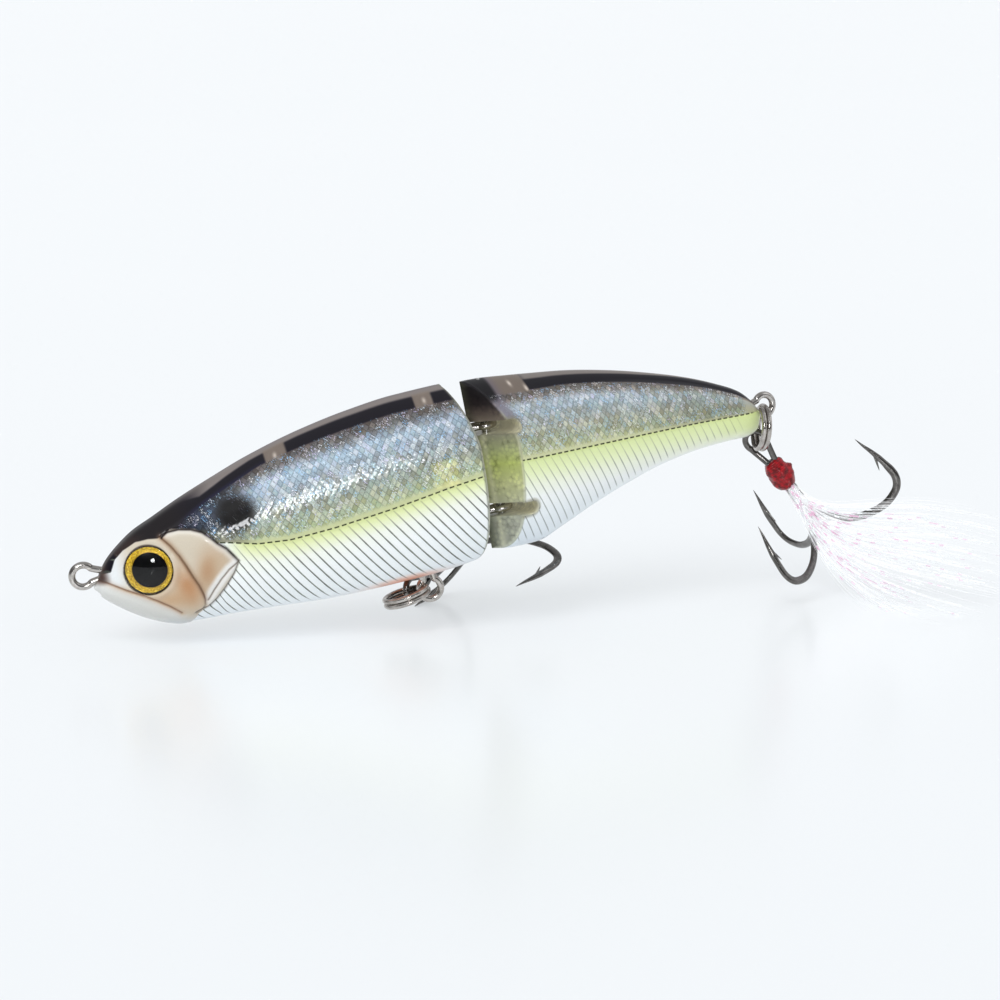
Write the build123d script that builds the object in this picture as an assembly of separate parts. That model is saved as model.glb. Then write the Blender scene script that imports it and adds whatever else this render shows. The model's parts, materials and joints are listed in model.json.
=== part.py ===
from build123d import *
import os
from math import sin, cos, tan, radians, pi, sqrt

# Two-piece jointed swimbait: a deep, narrow fish body in two hinged sections, with a
# treble hook under the belly and a dressed treble hook at the tail.
# Frame: origin at the centre of the line-tie ring at the nose, +X from nose to tail along the
# front section, +Z towards the back (dorsal) edge, +Y to the fish's right side.
# The rear section has its own frame, with x = 0 on the hinge pin. Millimetres and degrees.

ACROSS = (0, 1, 0)
UP = (0, 0, 1)

# ---------------------------------------------------------------- joint
PIN_X = 71.6            # hinge pin axis, behind the line tie
REST_BEND = 17.0        # bend of the tail section at rest, towards +Y
NOTCH_X = 65.2          # bottom of the V-notch in the front section
NOTCH_SWEEP = 24.0      # notch faces, from the transverse plane
RIDGE = 3.2             # ridge of the rear wedge, ahead of the pin
WEDGE_SWEEP = 29.0      # wedge faces, from the transverse plane
PIN_R = 0.75
PIN_BOTTOM, PIN_TOP = -9.6, 17.75
PIN_GAP = 0.01          # radial gap of the pin bore
PIN_END_GAP = 0.02      # gap below the pin
PIN_BORE_TOP = 30.0     # clear of the crest
UPPER_Z, LOWER_Z = 9.7, -4.9
SLOT_H = 2.4            # hinge slot height
SLOTS = ((UPPER_Z, 2.9), (LOWER_Z, 3.7))    # middle height, closed end behind the pin
SLOT_REACH = 12.0       # cuts past the body ahead and to both sides

# ---------------------------------------------------------------- shells
WALL = 1.7              # moulded shell wall
CREST_INSET = 1.15      # wall factor at the crest
FRONT_HOLLOW = (15.5, 51.0)     # x range of each hollow
REAR_HOLLOW = (8.0, 41.0)
PEG_R, PEG_END, PEG_ROOT = 0.9, 1.6, 0.5    # radius, reach to the right, root to the left
SOCKET_GAP, SOCKET_END_GAP, SOCKET_OVERCUT = 0.05, 0.2, 0.1
# posts and pegs: x, z
FRONT_POSTS = ((30.2, 8.9), (44.5, 12.4))
FRONT_PEGS = ((12.6, -7.7), *FRONT_POSTS, (60.5, 15.2), (53.4, -8.6))
FRONT_POST_R, FRONT_POST_LEN = 2.0, 8.0
REAR_POST = (20.0, 7.9)
REAR_PEGS = ((5.6, 2.3), REAR_POST, (43.2, 2.4))
REAR_POST_R, REAR_POST_LEN = 1.8, 7.0
# ballast cradles: x of each, half thickness, z range; they reach past the shell at the side
FRONT_CRADLES, FRONT_CRADLE_HALF, FRONT_CRADLE_Z = (27.5, 38.5), 0.8, (-14, -4.6)
REAR_CRADLES, REAR_CRADLE_HALF, REAR_CRADLE_Z = (11.2, 16.4), 0.7, (-12, -3.6)
CRADLE_REACH = 9.0
# ballast capsules: end centres, radius
FRONT_BALLAST = ((25.5, 0, -7.3), (40.5, 0, -7.9), 3.1)
REAR_BALLAST = ((10.8, 0, -5.7), (17.0, 0, -4.6), 2.0)
BALLAST_GAP = 0.03

# ---------------------------------------------------------------- figure-eight wires
WIRE_R = 0.60
FUZZ = 0.02             # moulding allowance round a buried wire
LOOP_R = 1.85           # centre-line radius of line tie, belly and tail loops
ANCHOR_R = 1.60         # buried anchor loop
TAIL_ANCHOR_R = 1.45
HINGE_CLEARANCE = 0.10
HINGE_EYE_R = PIN_R + HINGE_CLEARANCE + WIRE_R
HINGE_WIRE_LEN = 10.2   # pin axis to anchor centre
BELLY_LOOP = (56.9, 0.0, -15.9)
BELLY_WIRE_LEN = 9.0
TAIL_LOOP_X, TAIL_LOOP_Z = 54.83, -1.69     # in the rear section's frame
TIE_BORE_R = 1.30       # polished seat for the snap or split ring
TIE_BORE_HALF = 2.0


def hinge_spec(z):
    return ((PIN_X, 0, z), HINGE_EYE_R, (PIN_X - HINGE_WIRE_LEN, 0, z), ANCHOR_R, UP)


# each wire: loop centre, loop radius, anchor centre, anchor radius, loop normal
LINE_TIE = ((0, 0, 0), LOOP_R, (9.6, 0, -1.3), ANCHOR_R, ACROSS)
BELLY_ANCHOR = (BELLY_LOOP[0], 0, BELLY_LOOP[2] + BELLY_WIRE_LEN)
BELLY_HANGER = (BELLY_LOOP, LOOP_R, BELLY_ANCHOR, ANCHOR_R, ACROSS)
UPPER_HINGE, LOWER_HINGE = hinge_spec(UPPER_Z), hinge_spec(LOWER_Z)
TAIL_LOOP = (TAIL_LOOP_X, 0, TAIL_LOOP_Z)
TAIL_EYE_WIRE = (TAIL_LOOP, LOOP_R, (45.6, 0, -1.4), TAIL_ANCHOR_R, ACROSS)

# ---------------------------------------------------------------- body section tables
# x, crest z, keel z, half width, z of greatest width, upper and lower roundness exponents
FRONT = [
    (1.7, -1.9, -3.0, 0.75, -2.4, 2.0, 2.0),
    (2.6, -0.4, -4.3, 2.0, -2.3, 2.0, 2.0),
    (4.2, 1.7, -5.8, 3.2, -2.2, 2.0, 2.1),
    (6.6, 3.7, -7.7, 4.5, -2.0, 2.0, 2.2),
    (9.6, 5.6, -9.6, 5.7, -1.8, 2.0, 2.3),
    (13.2, 7.1, -11.1, 6.6, -1.3, 1.9, 2.3),
    (18.0, 9.15, -11.7, 7.3, -0.3, 1.8, 2.3),
    (24.0, 11.35, -12.0, 7.8, 1.2, 1.7, 2.3),
    (31.0, 13.7, -12.55, 8.2, 2.8, 1.6, 2.3),
    (40.0, 15.95, -13.3, 8.6, 4.4, 1.55, 2.3),
    (49.0, 17.45, -13.5, 8.8, 5.8, 1.5, 2.3),
    (57.0, 18.2, -13.4, 8.8, 6.7, 1.48, 2.3),
    (64.0, 18.3, -12.9, 8.6, 7.2, 1.45, 2.3),
    (70.0, 18.0, -11.6, 8.3, 7.5, 1.45, 2.3),
    (76.0, 17.5, -10.4, 8.1, 7.7, 1.45, 2.3),
]
REAR = [
    (-6.0, 17.9, -10.6, 8.5, 7.5, 1.45, 2.3),
    (-3.0, 18.05, -11.4, 8.4, 7.4, 1.45, 2.3),
    (0.5, 17.75, -12.1, 8.2, 7.2, 1.45, 2.3),
    (5.0, 17.0, -12.4, 7.8, 6.8, 1.48, 2.3),
    (10.0, 16.1, -11.2, 7.3, 6.2, 1.5, 2.3),
    (17.0, 14.75, -9.2, 6.5, 5.1, 1.55, 2.3),
    (25.0, 12.65, -7.4, 5.5, 3.5, 1.65, 2.2),
    (32.0, 10.4, -6.2, 4.6, 1.9, 1.75, 2.2),
    (40.0, 7.4, -5.7, 3.6, 0.3, 1.9, 2.1),
    (46.0, 4.55, -5.9, 2.9, -1.0, 2.0, 2.0),
    (50.0, 2.2, -6.2, 2.3, -1.9, 2.0, 2.0),
    (52.2, -0.1, -5.7, 1.6, -2.4, 2.0, 2.0),
    (53.2, -1.7, -4.3, 0.8, -2.7, 2.0, 2.0),
]


# ---------------------------------------------------------------- helpers
def station(table, x):
    """One row of a section table, interpolated at x."""
    for a, b in zip(table, table[1:]):
        if a[0] <= x <= b[0]:
            t = (x - a[0]) / (b[0] - a[0])
            return tuple(p + (q - p) * t for p, q in zip(a, b))
    raise ValueError(x)


def outline(row, inset=0.0, count=15):
    """Half section from crest to keel as (half width, z), evenly spaced along its length."""
    _, crest, keel, half_width, mid_z, upper, lower = row
    half_width -= inset
    crest -= CREST_INSET * inset
    keel += inset
    dense = []
    for i in range(361):
        c, s = cos(pi * i / 360), sin(pi * i / 360)
        power, height = (upper, crest - mid_z) if c >= 0 else (lower, keel - mid_z)
        y = half_width * abs(s) ** (2 / power)
        dense.append((y, mid_z + height * abs(c) ** (2 / power)))
    run = [0.0]
    for p, q in zip(dense, dense[1:]):
        run.append(run[-1] + sqrt((p[0] - q[0]) ** 2 + (p[1] - q[1]) ** 2))
    points, j = [], 0
    for i in range(count):
        want = run[-1] * i / (count - 1)
        while j < len(run) - 2 and run[j + 1] < want:
            j += 1
        t = (want - run[j]) / max(run[j + 1] - run[j], 1e-9)
        points.append(tuple(a + (b - a) * t for a, b in zip(dense[j], dense[j + 1])))
    points[0], points[-1] = (0.0, crest), (0.0, keel)
    return points


def half_face(row, inset=0.0):
    """Left-hand (y < 0) half section as a planar face: outline plus the parting line."""
    points = [Vector(row[0], -y, z) for y, z in outline(row, inset)]
    return Face(Wire([Spline(*points), Line(points[-1], points[0])]))


def half_body(table, inset=0.0):
    return loft([half_face(row, inset) for row in table], ruled=True)


def pocket(table, x0, x1):
    """Inner hollow of a half; table stations within 1 mm of its ends are skipped."""
    inner = [row for row in table if x0 + 1 < row[0] < x1 - 1]
    return half_body([station(table, x0)] + inner + [station(table, x1)], WALL)


def rod(start, end, radius):
    start, end = Vector(start), Vector(end)
    along = end - start
    return Solid.make_cylinder(radius, along.length, Plane(origin=start, z_dir=along.normalized()))


def ring(centre, normal, radius, wire):
    return Solid.make_torus(radius, wire, Plane(origin=Vector(centre), z_dir=Vector(normal)))


def eight(loop, loop_r, anchor, anchor_r, normal, wire=WIRE_R):
    """Figure-eight wire: working loop, straight neck and buried anchor loop."""
    a, b = Vector(loop), Vector(anchor)
    along = (b - a).normalized()
    neck = rod(a + along * loop_r, b - along * anchor_r, wire)
    return ring(loop, normal, loop_r, wire) + neck + ring(anchor, normal, anchor_r, wire)


def wire_cut(spec):
    return eight(*spec, wire=WIRE_R + FUZZ)


def v_cut(apex_x, sweep, depth, end_x):
    """Left-hand half of a V-shaped joint cut: full height, from the apex to end_x."""
    swept_x = apex_x + depth * tan(radians(sweep))
    plan = [(apex_x, 0.5), (apex_x, 0), (swept_x, -depth), (end_x, -depth), (end_x, 0.5)]
    face = Face(Wire.make_polygon([Vector(x, y, -40) for x, y in plan], close=True))
    return extrude(face, amount=80, dir=UP)


def slab(x0, x1, y0, y1, z0, z1):
    return Pos((x0 + x1) / 2, (y0 + y1) / 2, (z0 + z1) / 2) * Box(x1 - x0, y1 - y0, z1 - z0)


def capsule(start, end, radius, gap=0.0):
    radius += gap
    return rod(start, end, radius) + Pos(*start) * Sphere(radius) + Pos(*end) * Sphere(radius)


def one(shape):
    """The largest solid of a boolean result."""
    return max(shape.solids(), key=lambda s: s.volume)


def square_to(direction, axis):
    """Unit part of a direction that is square to a unit axis."""
    return (direction - axis * direction.dot(axis)).normalized()


# ---------------------------------------------------------------- lure eyes
EYE_X, EYE_Z, EYE_R = 10.35, -0.37, 4.1
EYE_DIR = Vector(-0.26, -0.96, 0.03).normalized()   # outwards from the left cheek
SEAT_DEPTH, SEAT_GAP, SEAT_CUT = 0.95, 0.04, 6.0
FOIL_THICK, FOIL_INSET = 0.30, 0.05
RIM_H, CAP_H = 0.45, 1.35       # straight rim and domed cap of the eye
CAP_ZONE_TOP = 3.0              # beyond the top of the dome
CAP_R = (EYE_R ** 2 + CAP_H ** 2) / (2 * CAP_H)
cheek_points = outline(station(FRONT, EYE_X), count=60)
cheek_y = min(cheek_points, key=lambda p: abs(p[1] - EYE_Z))[0]
SEAT = Vector(EYE_X, -cheek_y, EYE_Z) - EYE_DIR * SEAT_DEPTH


def eye_foil():
    return rod(SEAT, SEAT + EYE_DIR * FOIL_THICK, EYE_R - FOIL_INSET)


def eye_dome():
    base = SEAT + EYE_DIR * FOIL_THICK
    rim_top = base + EYE_DIR * RIM_H
    ball = Pos(*(base + EYE_DIR * (RIM_H + CAP_H - CAP_R))) * Sphere(CAP_R)
    cap_zone = rod(rim_top, base + EYE_DIR * CAP_ZONE_TOP, EYE_R)
    return one(rod(base, rim_top, EYE_R) + cap_zone.intersect(ball))


# ---------------------------------------------------------------- body pieces
def line_tie():
    bore = rod((0, -TIE_BORE_HALF, 0), (0, TIE_BORE_HALF, 0), TIE_BORE_R)
    return one(eight(*LINE_TIE) - bore)


def add_post(half, outer, place, radius, length):
    x, z = place
    return half + rod((x, 0, z), (x, -length, z), radius).intersect(outer)


def add_cradle(half, outer, x, thick, z_range):
    """thick is half the cradle's thickness."""
    return half + slab(x - thick, x + thick, -CRADLE_REACH, 0, *z_range).intersect(outer)


def pegged_pair(left, pegs):
    """Left half with locating pegs, and its mirrored right half with sockets."""
    right = mirror(left, about=Plane.XZ)
    for x, z in pegs:
        left = left + rod((x, -PEG_ROOT, z), (x, PEG_END, z), PEG_R)
        socket_end = (x, PEG_END + SOCKET_END_GAP, z)
        right = right - rod((x, -SOCKET_OVERCUT, z), socket_end, PEG_R + SOCKET_GAP)
    return one(left), one(right)


def front_shells():
    outer = half_body(FRONT)
    left = outer - pocket(FRONT, *FRONT_HOLLOW)
    for place in FRONT_POSTS:
        left = add_post(left, outer, place, FRONT_POST_R, FRONT_POST_LEN)
    for x in FRONT_CRADLES:
        left = add_cradle(left, outer, x, FRONT_CRADLE_HALF, FRONT_CRADLE_Z)
    left = left - capsule(*FRONT_BALLAST, gap=BALLAST_GAP)
    left = left - v_cut(NOTCH_X, NOTCH_SWEEP, depth=20, end_x=110)
    for spec in (LINE_TIE, BELLY_HANGER, UPPER_HINGE, LOWER_HINGE):
        left = left - wire_cut(spec)
    # flat-bottomed round eye seat, square to the cheek
    seat_cut = rod(SEAT, SEAT + EYE_DIR * SEAT_CUT, EYE_R + SEAT_GAP)
    left = one(one(left) - seat_cut)
    return pegged_pair(left, FRONT_PEGS)


def rear_shells():
    outer = half_body(REAR)
    left = outer - pocket(REAR, *REAR_HOLLOW)
    left = left - v_cut(-RIDGE, WEDGE_SWEEP, depth=14, end_x=-20)
    left = add_post(left, outer, REAR_POST, REAR_POST_R, REAR_POST_LEN)
    for x in REAR_CRADLES:
        left = add_cradle(left, outer, x, REAR_CRADLE_HALF, REAR_CRADLE_Z)
    left = left - capsule(*REAR_BALLAST, gap=BALLAST_GAP)
    radius = SLOT_H / 2
    far = SLOT_REACH
    for z, end in SLOTS:
        x = end - radius
        left = left - slab(-far, x, -far, far, z - radius, z + radius)
        left = left - rod((x, -far, z), (x, far, z), radius)
    bore = rod((0, 0, PIN_BOTTOM - PIN_END_GAP), (0, 0, PIN_BORE_TOP), PIN_R + PIN_GAP)
    left = one(left - wire_cut(TAIL_EYE_WIRE) - bore)
    return pegged_pair(left, REAR_PEGS)


# ---------------------------------------------------------------- split rings and trebles
RING_R = 3.8            # split ring centre-line radius
RING_WIRE = 0.44        # split ring wire radius
RING_PITCH = 0.92       # rise per coil
RING_TURNS = 1.9
HOOK_WIRE = 0.55        # hook wire radius
HOOK_EYE_R = 1.95       # hook eye centre-line radius
HOOK_TIP_R = 0.06
# hook centre line: distance along the shank from the eye, distance from the shank axis
HOOK = [
    (1.9, 0.62), (6.0, 0.66), (11.0, 0.66), (15.0, 0.70), (17.6, 1.40), (19.4, 3.05),
    (21.3, 5.35), (22.5, 8.0), (22.9, 11.0), (22.6, 13.3), (21.5, 15.35), (19.6, 16.3),
    (16.8, 16.1), (14.0, 15.6),
]
HOOK_TIP = (10.0, 14.35)
# the single hook starts lower on the shank, beside the other two
SINGLE_HOOK = [(3.4, 0.66)] + HOOK[1:]
CLOCK_REF = Vector(-0.1648, -0.9598, 0.2271)    # reference direction for clocking the hooks


def split_ring(centre, normal, hole_dir):
    """Two-coil split ring; the coil ends face away from hole_dir."""
    normal = normal.normalized()
    ends_dir = square_to(hole_dir, normal) * -1
    height = RING_PITCH * RING_TURNS
    path = Helix(RING_PITCH, height, RING_R)
    start = Plane(origin=path @ 0, z_dir=path % 0)
    coil = sweep(start * Circle(RING_WIRE), path=path, is_frenet=True)
    coil = Pos(0, 0, -height / 2) * Rot(0, 0, -RING_TURNS * 180 + 180) * coil
    return Plane(origin=centre, x_dir=ends_dir, z_dir=normal) * coil


def hook(eye, shank, out, wire=HOOK_WIRE, line=HOOK, point_x=None):
    """One hook: round wire swept along its centre line, then a needle point."""
    points = [eye + shank * a + out * b for a, b in line]
    path = Edge.make_spline(points)
    bend = sweep(Plane(origin=path @ 0, z_dir=path % 0) * Circle(wire), path=path)
    end = points[-1]
    needle = (eye + shank * HOOK_TIP[0] + out * HOOK_TIP[1]) - end
    if point_x is None:
        plane = Plane(origin=end, z_dir=needle.normalized())
    else:
        plane = Plane(origin=end, x_dir=point_x, z_dir=needle.normalized())
    return bend + Solid.make_cone(wire, HOOK_TIP_R, needle.length, plane)


def treble(eye, shank, first, eye_normal):
    """Double hook with the eye, the third hook, and the outward directions of all three."""
    first = square_to(first, shank)
    side = shank.cross(first)
    outs = [first * cos(a) + side * sin(a) for a in (0, 2 * pi / 3, -2 * pi / 3)]
    double = ring(eye, square_to(eye_normal, shank), HOOK_EYE_R, HOOK_WIRE)
    double = double + hook(eye, shank, outs[0]) + hook(eye, shank, outs[1])
    single = hook(eye, shank, outs[2], line=SINGLE_HOOK, point_x=outs[2].cross(shank))
    return one(double), one(single), outs


def clock(shank, angle):
    """Direction square to the shank, turned by an angle about it."""
    p = shank.cross(CLOCK_REF).normalized()
    q = p.cross(shank)
    return p * cos(radians(angle)) + q * sin(radians(angle))


# belly ring lies forward of its loop, pitched a little below level
BELLY_PITCH = radians(6.2)
BELLY_RING_GAP = 0.40           # added to the ring radius between loop and ring centres
BELLY_LINK_ANGLE = radians(59.0)    # round the ring from its loop, towards +Y
BELLY_AZIMUTH, BELLY_RISE = radians(40.0), radians(11.0)    # shank direction
BELLY_CLOCK = 40.0
BELLY_EYE_SHIFT = -0.22         # hook eye from the ring wire, along the shank


def belly_tackle():
    """Belly split ring, double hook and single hook."""
    right = Vector(ACROSS)
    hang = Vector(-cos(BELLY_PITCH), 0, -sin(BELLY_PITCH))
    centre = Vector(BELLY_LOOP) + hang * (BELLY_RING_GAP + RING_R)
    coil = split_ring(centre, hang.cross(right), -hang)
    radial = -hang * cos(BELLY_LINK_ANGLE) + right * sin(BELLY_LINK_ANGLE)
    tangent = hang * sin(BELLY_LINK_ANGLE) + right * cos(BELLY_LINK_ANGLE)
    level = cos(BELLY_RISE)
    shank = Vector(cos(BELLY_AZIMUTH) * level, sin(BELLY_AZIMUTH) * level, sin(BELLY_RISE))
    eye = centre + radial * RING_R + shank * BELLY_EYE_SHIFT
    double, single, _ = treble(eye, shank, clock(shank, BELLY_CLOCK), tangent)
    return coil, double, single


# tail ring hangs from the tail loop, turned across it; the treble hangs on its far side
TAIL_TILT, TAIL_YAW = radians(18.0), radians(15.0)
TAIL_RING_GAP = 0.15
TAIL_LINK_ANGLE = radians(42.0)     # below the ring's cross direction
TAIL_SHANK = Vector(0.4255, -0.088, -0.901).normalized()
TAIL_CLOCK = 180 - 10.6
TAIL_EYE_SHIFT = 0.19


def tail_tackle():
    """Tail split ring, double hook, single hook, hook eye centre and hook directions."""
    bend = radians(REST_BEND)
    aft, right = Vector(cos(bend), sin(bend), 0), Vector(-sin(bend), cos(bend), 0)
    up = Vector(UP)
    loop = Vector(PIN_X, 0, 0) + aft * TAIL_LOOP_X + up * TAIL_LOOP_Z
    hang = aft * -sin(TAIL_TILT) + up * -cos(TAIL_TILT)
    square = aft * cos(TAIL_TILT) - up * sin(TAIL_TILT)     # to the hang, in the body's plane
    cross = (right * cos(TAIL_YAW) + square * sin(TAIL_YAW)).normalized()
    centre = loop + hang * (TAIL_RING_GAP + RING_R)
    coil = split_ring(centre, hang.cross(cross), -hang)
    radial = cross * cos(TAIL_LINK_ANGLE) + hang * sin(TAIL_LINK_ANGLE)
    tangent = hang * cos(TAIL_LINK_ANGLE) - cross * sin(TAIL_LINK_ANGLE)
    eye = centre + radial * RING_R + TAIL_SHANK * TAIL_EYE_SHIFT
    double, single, outs = treble(eye, TAIL_SHANK, clock(TAIL_SHANK, TAIL_CLOCK), tangent)
    return coil, double, single, eye, outs


# ---------------------------------------------------------------- dressing of the tail treble
# thread wrap: radius, distance along the shank from the eye
WRAP = [
    (1.28, 4.7), (1.55, 4.7), (1.95, 5.6), (2.15, 7.2),
    (2.15, 8.6), (1.85, 9.8), (1.5, 10.2), (1.28, 10.2),
]
FAN_DIR = Vector(0.627, -0.587, -0.517).normalized()
FAN_ORIGIN = 10.6       # along the shank from the eye
FAN_START = 0.8         # first section, beyond the fan origin
FAN_LEN = 46.0
FAN_SPLIT = 0.25        # each fan's gap from the middle plane
FAN_ROOT_HALF = 1.0     # half width at the root
HOOK_CLEAR_R = 1.25     # channel cut in the fans round each hook


def thread_wrap(eye):
    """Lumpy spindle round the shank, with a clear bore over the wires."""
    profile = Wire.make_polygon([Vector(r, 0, a) for r, a in WRAP], close=True)
    return Plane(origin=eye, z_dir=TAIL_SHANK) * revolve(Face(profile), Axis.Z, 360)


def fan(eye, outs, side, length, tip_half, root_thick, tip_thick):
    """Thin fan spreading aft, cleared round the hooks; side +1 is its left (-Y) face."""
    wide = CLOCK_REF.cross(FAN_DIR).normalized()
    deep = FAN_DIR.cross(wide).normalized()
    faces = []
    for t in (0, 0.5, 1):
        along = FAN_START + (length - FAN_START) * t
        half = FAN_ROOT_HALF + (tip_half - FAN_ROOT_HALF) * t
        thick = root_thick + (tip_thick - root_thick) * t
        origin = eye + TAIL_SHANK * FAN_ORIGIN + FAN_DIR * along
        origin = origin + deep * (side * (FAN_SPLIT + thick / 2))
        section = Plane(origin=origin, x_dir=wide, z_dir=FAN_DIR) * Rectangle(2 * half, thick)
        faces.append(section.face())
    blade = loft(faces)
    for out in outs:
        blade = blade - hook(eye, TAIL_SHANK, out, wire=HOOK_CLEAR_R)
    return one(blade)


# ---------------------------------------------------------------- pieces
rear_place = Pos(PIN_X, 0, 0) * Rot(0, 0, REST_BEND)
front_left, front_right = front_shells()
rear_left, rear_right = rear_shells()
foil, dome = eye_foil(), eye_dome()
belly_ring, belly_double, belly_single = belly_tackle()
tail_ring, tail_double, tail_single, tail_eye, tail_outs = tail_tackle()

NODES = {
    "front_shell_left": front_left,
    "front_shell_right": front_right,
    "line_tie_wire": line_tie(),
    "belly_hanger_wire": one(eight(*BELLY_HANGER)),
    "upper_hinge_eye": one(eight(*UPPER_HINGE)),
    "lower_hinge_eye": one(eight(*LOWER_HINGE)),
    "left_eye_foil": foil,
    "left_eye_dome": dome,
    "right_eye_foil": mirror(foil, about=Plane.XZ),
    "right_eye_dome": mirror(dome, about=Plane.XZ),
    "front_ballast": one(capsule(*FRONT_BALLAST)),
    "rear_shell_left": rear_place * rear_left,
    "rear_shell_right": rear_place * rear_right,
    "hinge_pin": rear_place * rod((0, 0, PIN_BOTTOM), (0, 0, PIN_TOP), PIN_R),
    "tail_eye_wire": rear_place * one(eight(*TAIL_EYE_WIRE)),
    "rear_ballast": rear_place * one(capsule(*REAR_BALLAST)),
    "belly_split_ring": belly_ring,
    "belly_hook_double": belly_double,
    "belly_hook_single": belly_single,
    "tail_split_ring": tail_ring,
    "tail_hook_double": tail_double,
    "tail_hook_single": tail_single,
    "thread_wrap": thread_wrap(tail_eye),
    "feather_hackle": fan(tail_eye, tail_outs, side=-1, length=FAN_LEN,
                          tip_half=9.5, root_thick=0.9, tip_thick=2.4),
    "flash_tinsel": fan(tail_eye, tail_outs, side=1, length=FAN_LEN * 0.93,
                        tip_half=8.5, root_thick=0.7, tip_thick=1.6),
}
os.makedirs("parts", exist_ok=True)
for name, shape in NODES.items():
    export_step(shape, f"parts/{name}.step")
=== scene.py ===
# Jointed two-piece fishing lure with two treble hooks and a dressed tail, lying on a table.
# Lengths are millimetres and become metres when a mesh is made. x runs from the line tie at
# the nose to the tail, y to the lure's right, z to its crest. The rear body has a frame of its
# own at the hinge pin, turned towards +y. The table is tilted in this frame to meet the lure.
import json
import math
from types import SimpleNamespace
import bpy
import numpy as np
from mathutils import Vector, Matrix

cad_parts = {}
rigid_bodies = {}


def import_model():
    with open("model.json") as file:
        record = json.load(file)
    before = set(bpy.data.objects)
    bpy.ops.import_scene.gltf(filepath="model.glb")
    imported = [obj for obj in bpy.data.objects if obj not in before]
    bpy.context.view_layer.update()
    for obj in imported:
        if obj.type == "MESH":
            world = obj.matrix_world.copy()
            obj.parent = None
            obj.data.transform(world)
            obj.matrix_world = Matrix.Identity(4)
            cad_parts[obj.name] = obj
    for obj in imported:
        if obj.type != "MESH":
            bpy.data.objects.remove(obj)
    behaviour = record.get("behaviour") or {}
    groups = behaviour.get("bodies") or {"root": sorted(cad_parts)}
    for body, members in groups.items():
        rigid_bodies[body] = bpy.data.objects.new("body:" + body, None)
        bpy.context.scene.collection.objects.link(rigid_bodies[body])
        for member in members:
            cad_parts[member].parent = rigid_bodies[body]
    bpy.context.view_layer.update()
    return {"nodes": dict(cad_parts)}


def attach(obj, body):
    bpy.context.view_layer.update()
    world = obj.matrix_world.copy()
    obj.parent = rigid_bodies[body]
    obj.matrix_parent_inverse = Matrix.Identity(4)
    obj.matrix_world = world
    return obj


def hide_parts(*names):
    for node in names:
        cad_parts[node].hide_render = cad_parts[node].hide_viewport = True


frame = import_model()
scene = bpy.context.scene
rng = np.random.default_rng(7)
MM = 0.001
pi = math.pi


def vec(*parts):
    return np.array(parts, float)


def unit(vector):
    vector = np.asarray(vector, float)
    return vector / np.linalg.norm(vector)


# ------------------------------------------------------------------ driving dimensions
# Columns: x, crest z, keel z, half width, z of the widest point, upper and lower fullness.
FRONT = np.array([
    (1.7, -1.9, -3.0, 0.75, -2.4, 2.0, 2.0), (2.6, -0.4, -4.3, 2.0, -2.3, 2.0, 2.0),
    (4.2, 1.7, -5.8, 3.2, -2.2, 2.0, 2.1), (6.6, 3.7, -7.7, 4.5, -2.0, 2.0, 2.2),
    (9.6, 5.6, -9.6, 5.7, -1.8, 2.0, 2.3), (13.2, 7.1, -11.1, 6.6, -1.3, 1.9, 2.3),
    (18.0, 9.15, -11.7, 7.3, -0.3, 1.8, 2.3), (24.0, 11.35, -12.0, 7.8, 1.2, 1.7, 2.3),
    (31.0, 13.7, -12.55, 8.2, 2.8, 1.6, 2.3), (40.0, 15.95, -13.3, 8.6, 4.4, 1.55, 2.3),
    (49.0, 17.45, -13.5, 8.8, 5.8, 1.5, 2.3), (57.0, 18.2, -13.4, 8.8, 6.7, 1.48, 2.3),
    (64.0, 18.3, -12.9, 8.6, 7.2, 1.45, 2.3), (70.0, 18.0, -11.6, 8.3, 7.5, 1.45, 2.3),
    (76.0, 17.5, -10.4, 8.1, 7.7, 1.45, 2.3)])
REAR = np.array([
    (-6.0, 17.9, -10.6, 8.5, 7.5, 1.45, 2.3), (-3.0, 18.05, -11.4, 8.4, 7.4, 1.45, 2.3),
    (0.5, 17.75, -12.1, 8.2, 7.2, 1.45, 2.3), (5.0, 17.0, -12.4, 7.8, 6.8, 1.48, 2.3),
    (10.0, 16.1, -11.2, 7.3, 6.2, 1.5, 2.3), (17.0, 14.75, -9.2, 6.5, 5.1, 1.55, 2.3),
    (25.0, 12.65, -7.4, 5.5, 3.5, 1.65, 2.2), (32.0, 10.4, -6.2, 4.6, 1.9, 1.75, 2.2),
    (40.0, 7.4, -5.7, 3.6, 0.3, 1.9, 2.1), (46.0, 4.55, -5.9, 2.9, -1.0, 2.0, 2.0),
    (50.0, 2.2, -6.2, 2.3, -1.9, 2.0, 2.0), (52.2, -0.1, -5.7, 1.6, -2.4, 2.0, 2.0),
    (53.2, -1.7, -4.3, 0.8, -2.7, 2.0, 2.0)])

PIN_X = 71.6
BEND = math.radians(17.0)
Y_AXIS, Z_AXIS = vec(0, 1, 0), vec(0, 0, 1)
REAR_X = vec(math.cos(BEND), math.sin(BEND), 0)
REAR_Y = vec(-math.sin(BEND), math.cos(BEND), 0)
LOOP_R, HINGE_LOOP_R, WIRE_R = 1.85, 1.45, 0.6
RING_R = 3.8
HOOK_WIRE_R = 0.55

# The camera's place and axes, and the table's normal.
CAM_AT = vec(-28.76, -588.19, 134.88)
CAM_RIGHT = vec(0.96018, -0.20791, -0.18664)
CAM_UP = vec(0.22625, 0.18664, 0.95603)
CAM_BACK = vec(-0.16393, -0.96018, 0.22624)
TABLE_UP = unit(vec(0.1908, 0, 0.9816))


def rear_point(x, y, z):
    """A point of the rear body's frame in the lure's frame."""
    return vec(PIN_X, 0, 0) + REAR_X * x + REAR_Y * y + Z_AXIS * z


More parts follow.
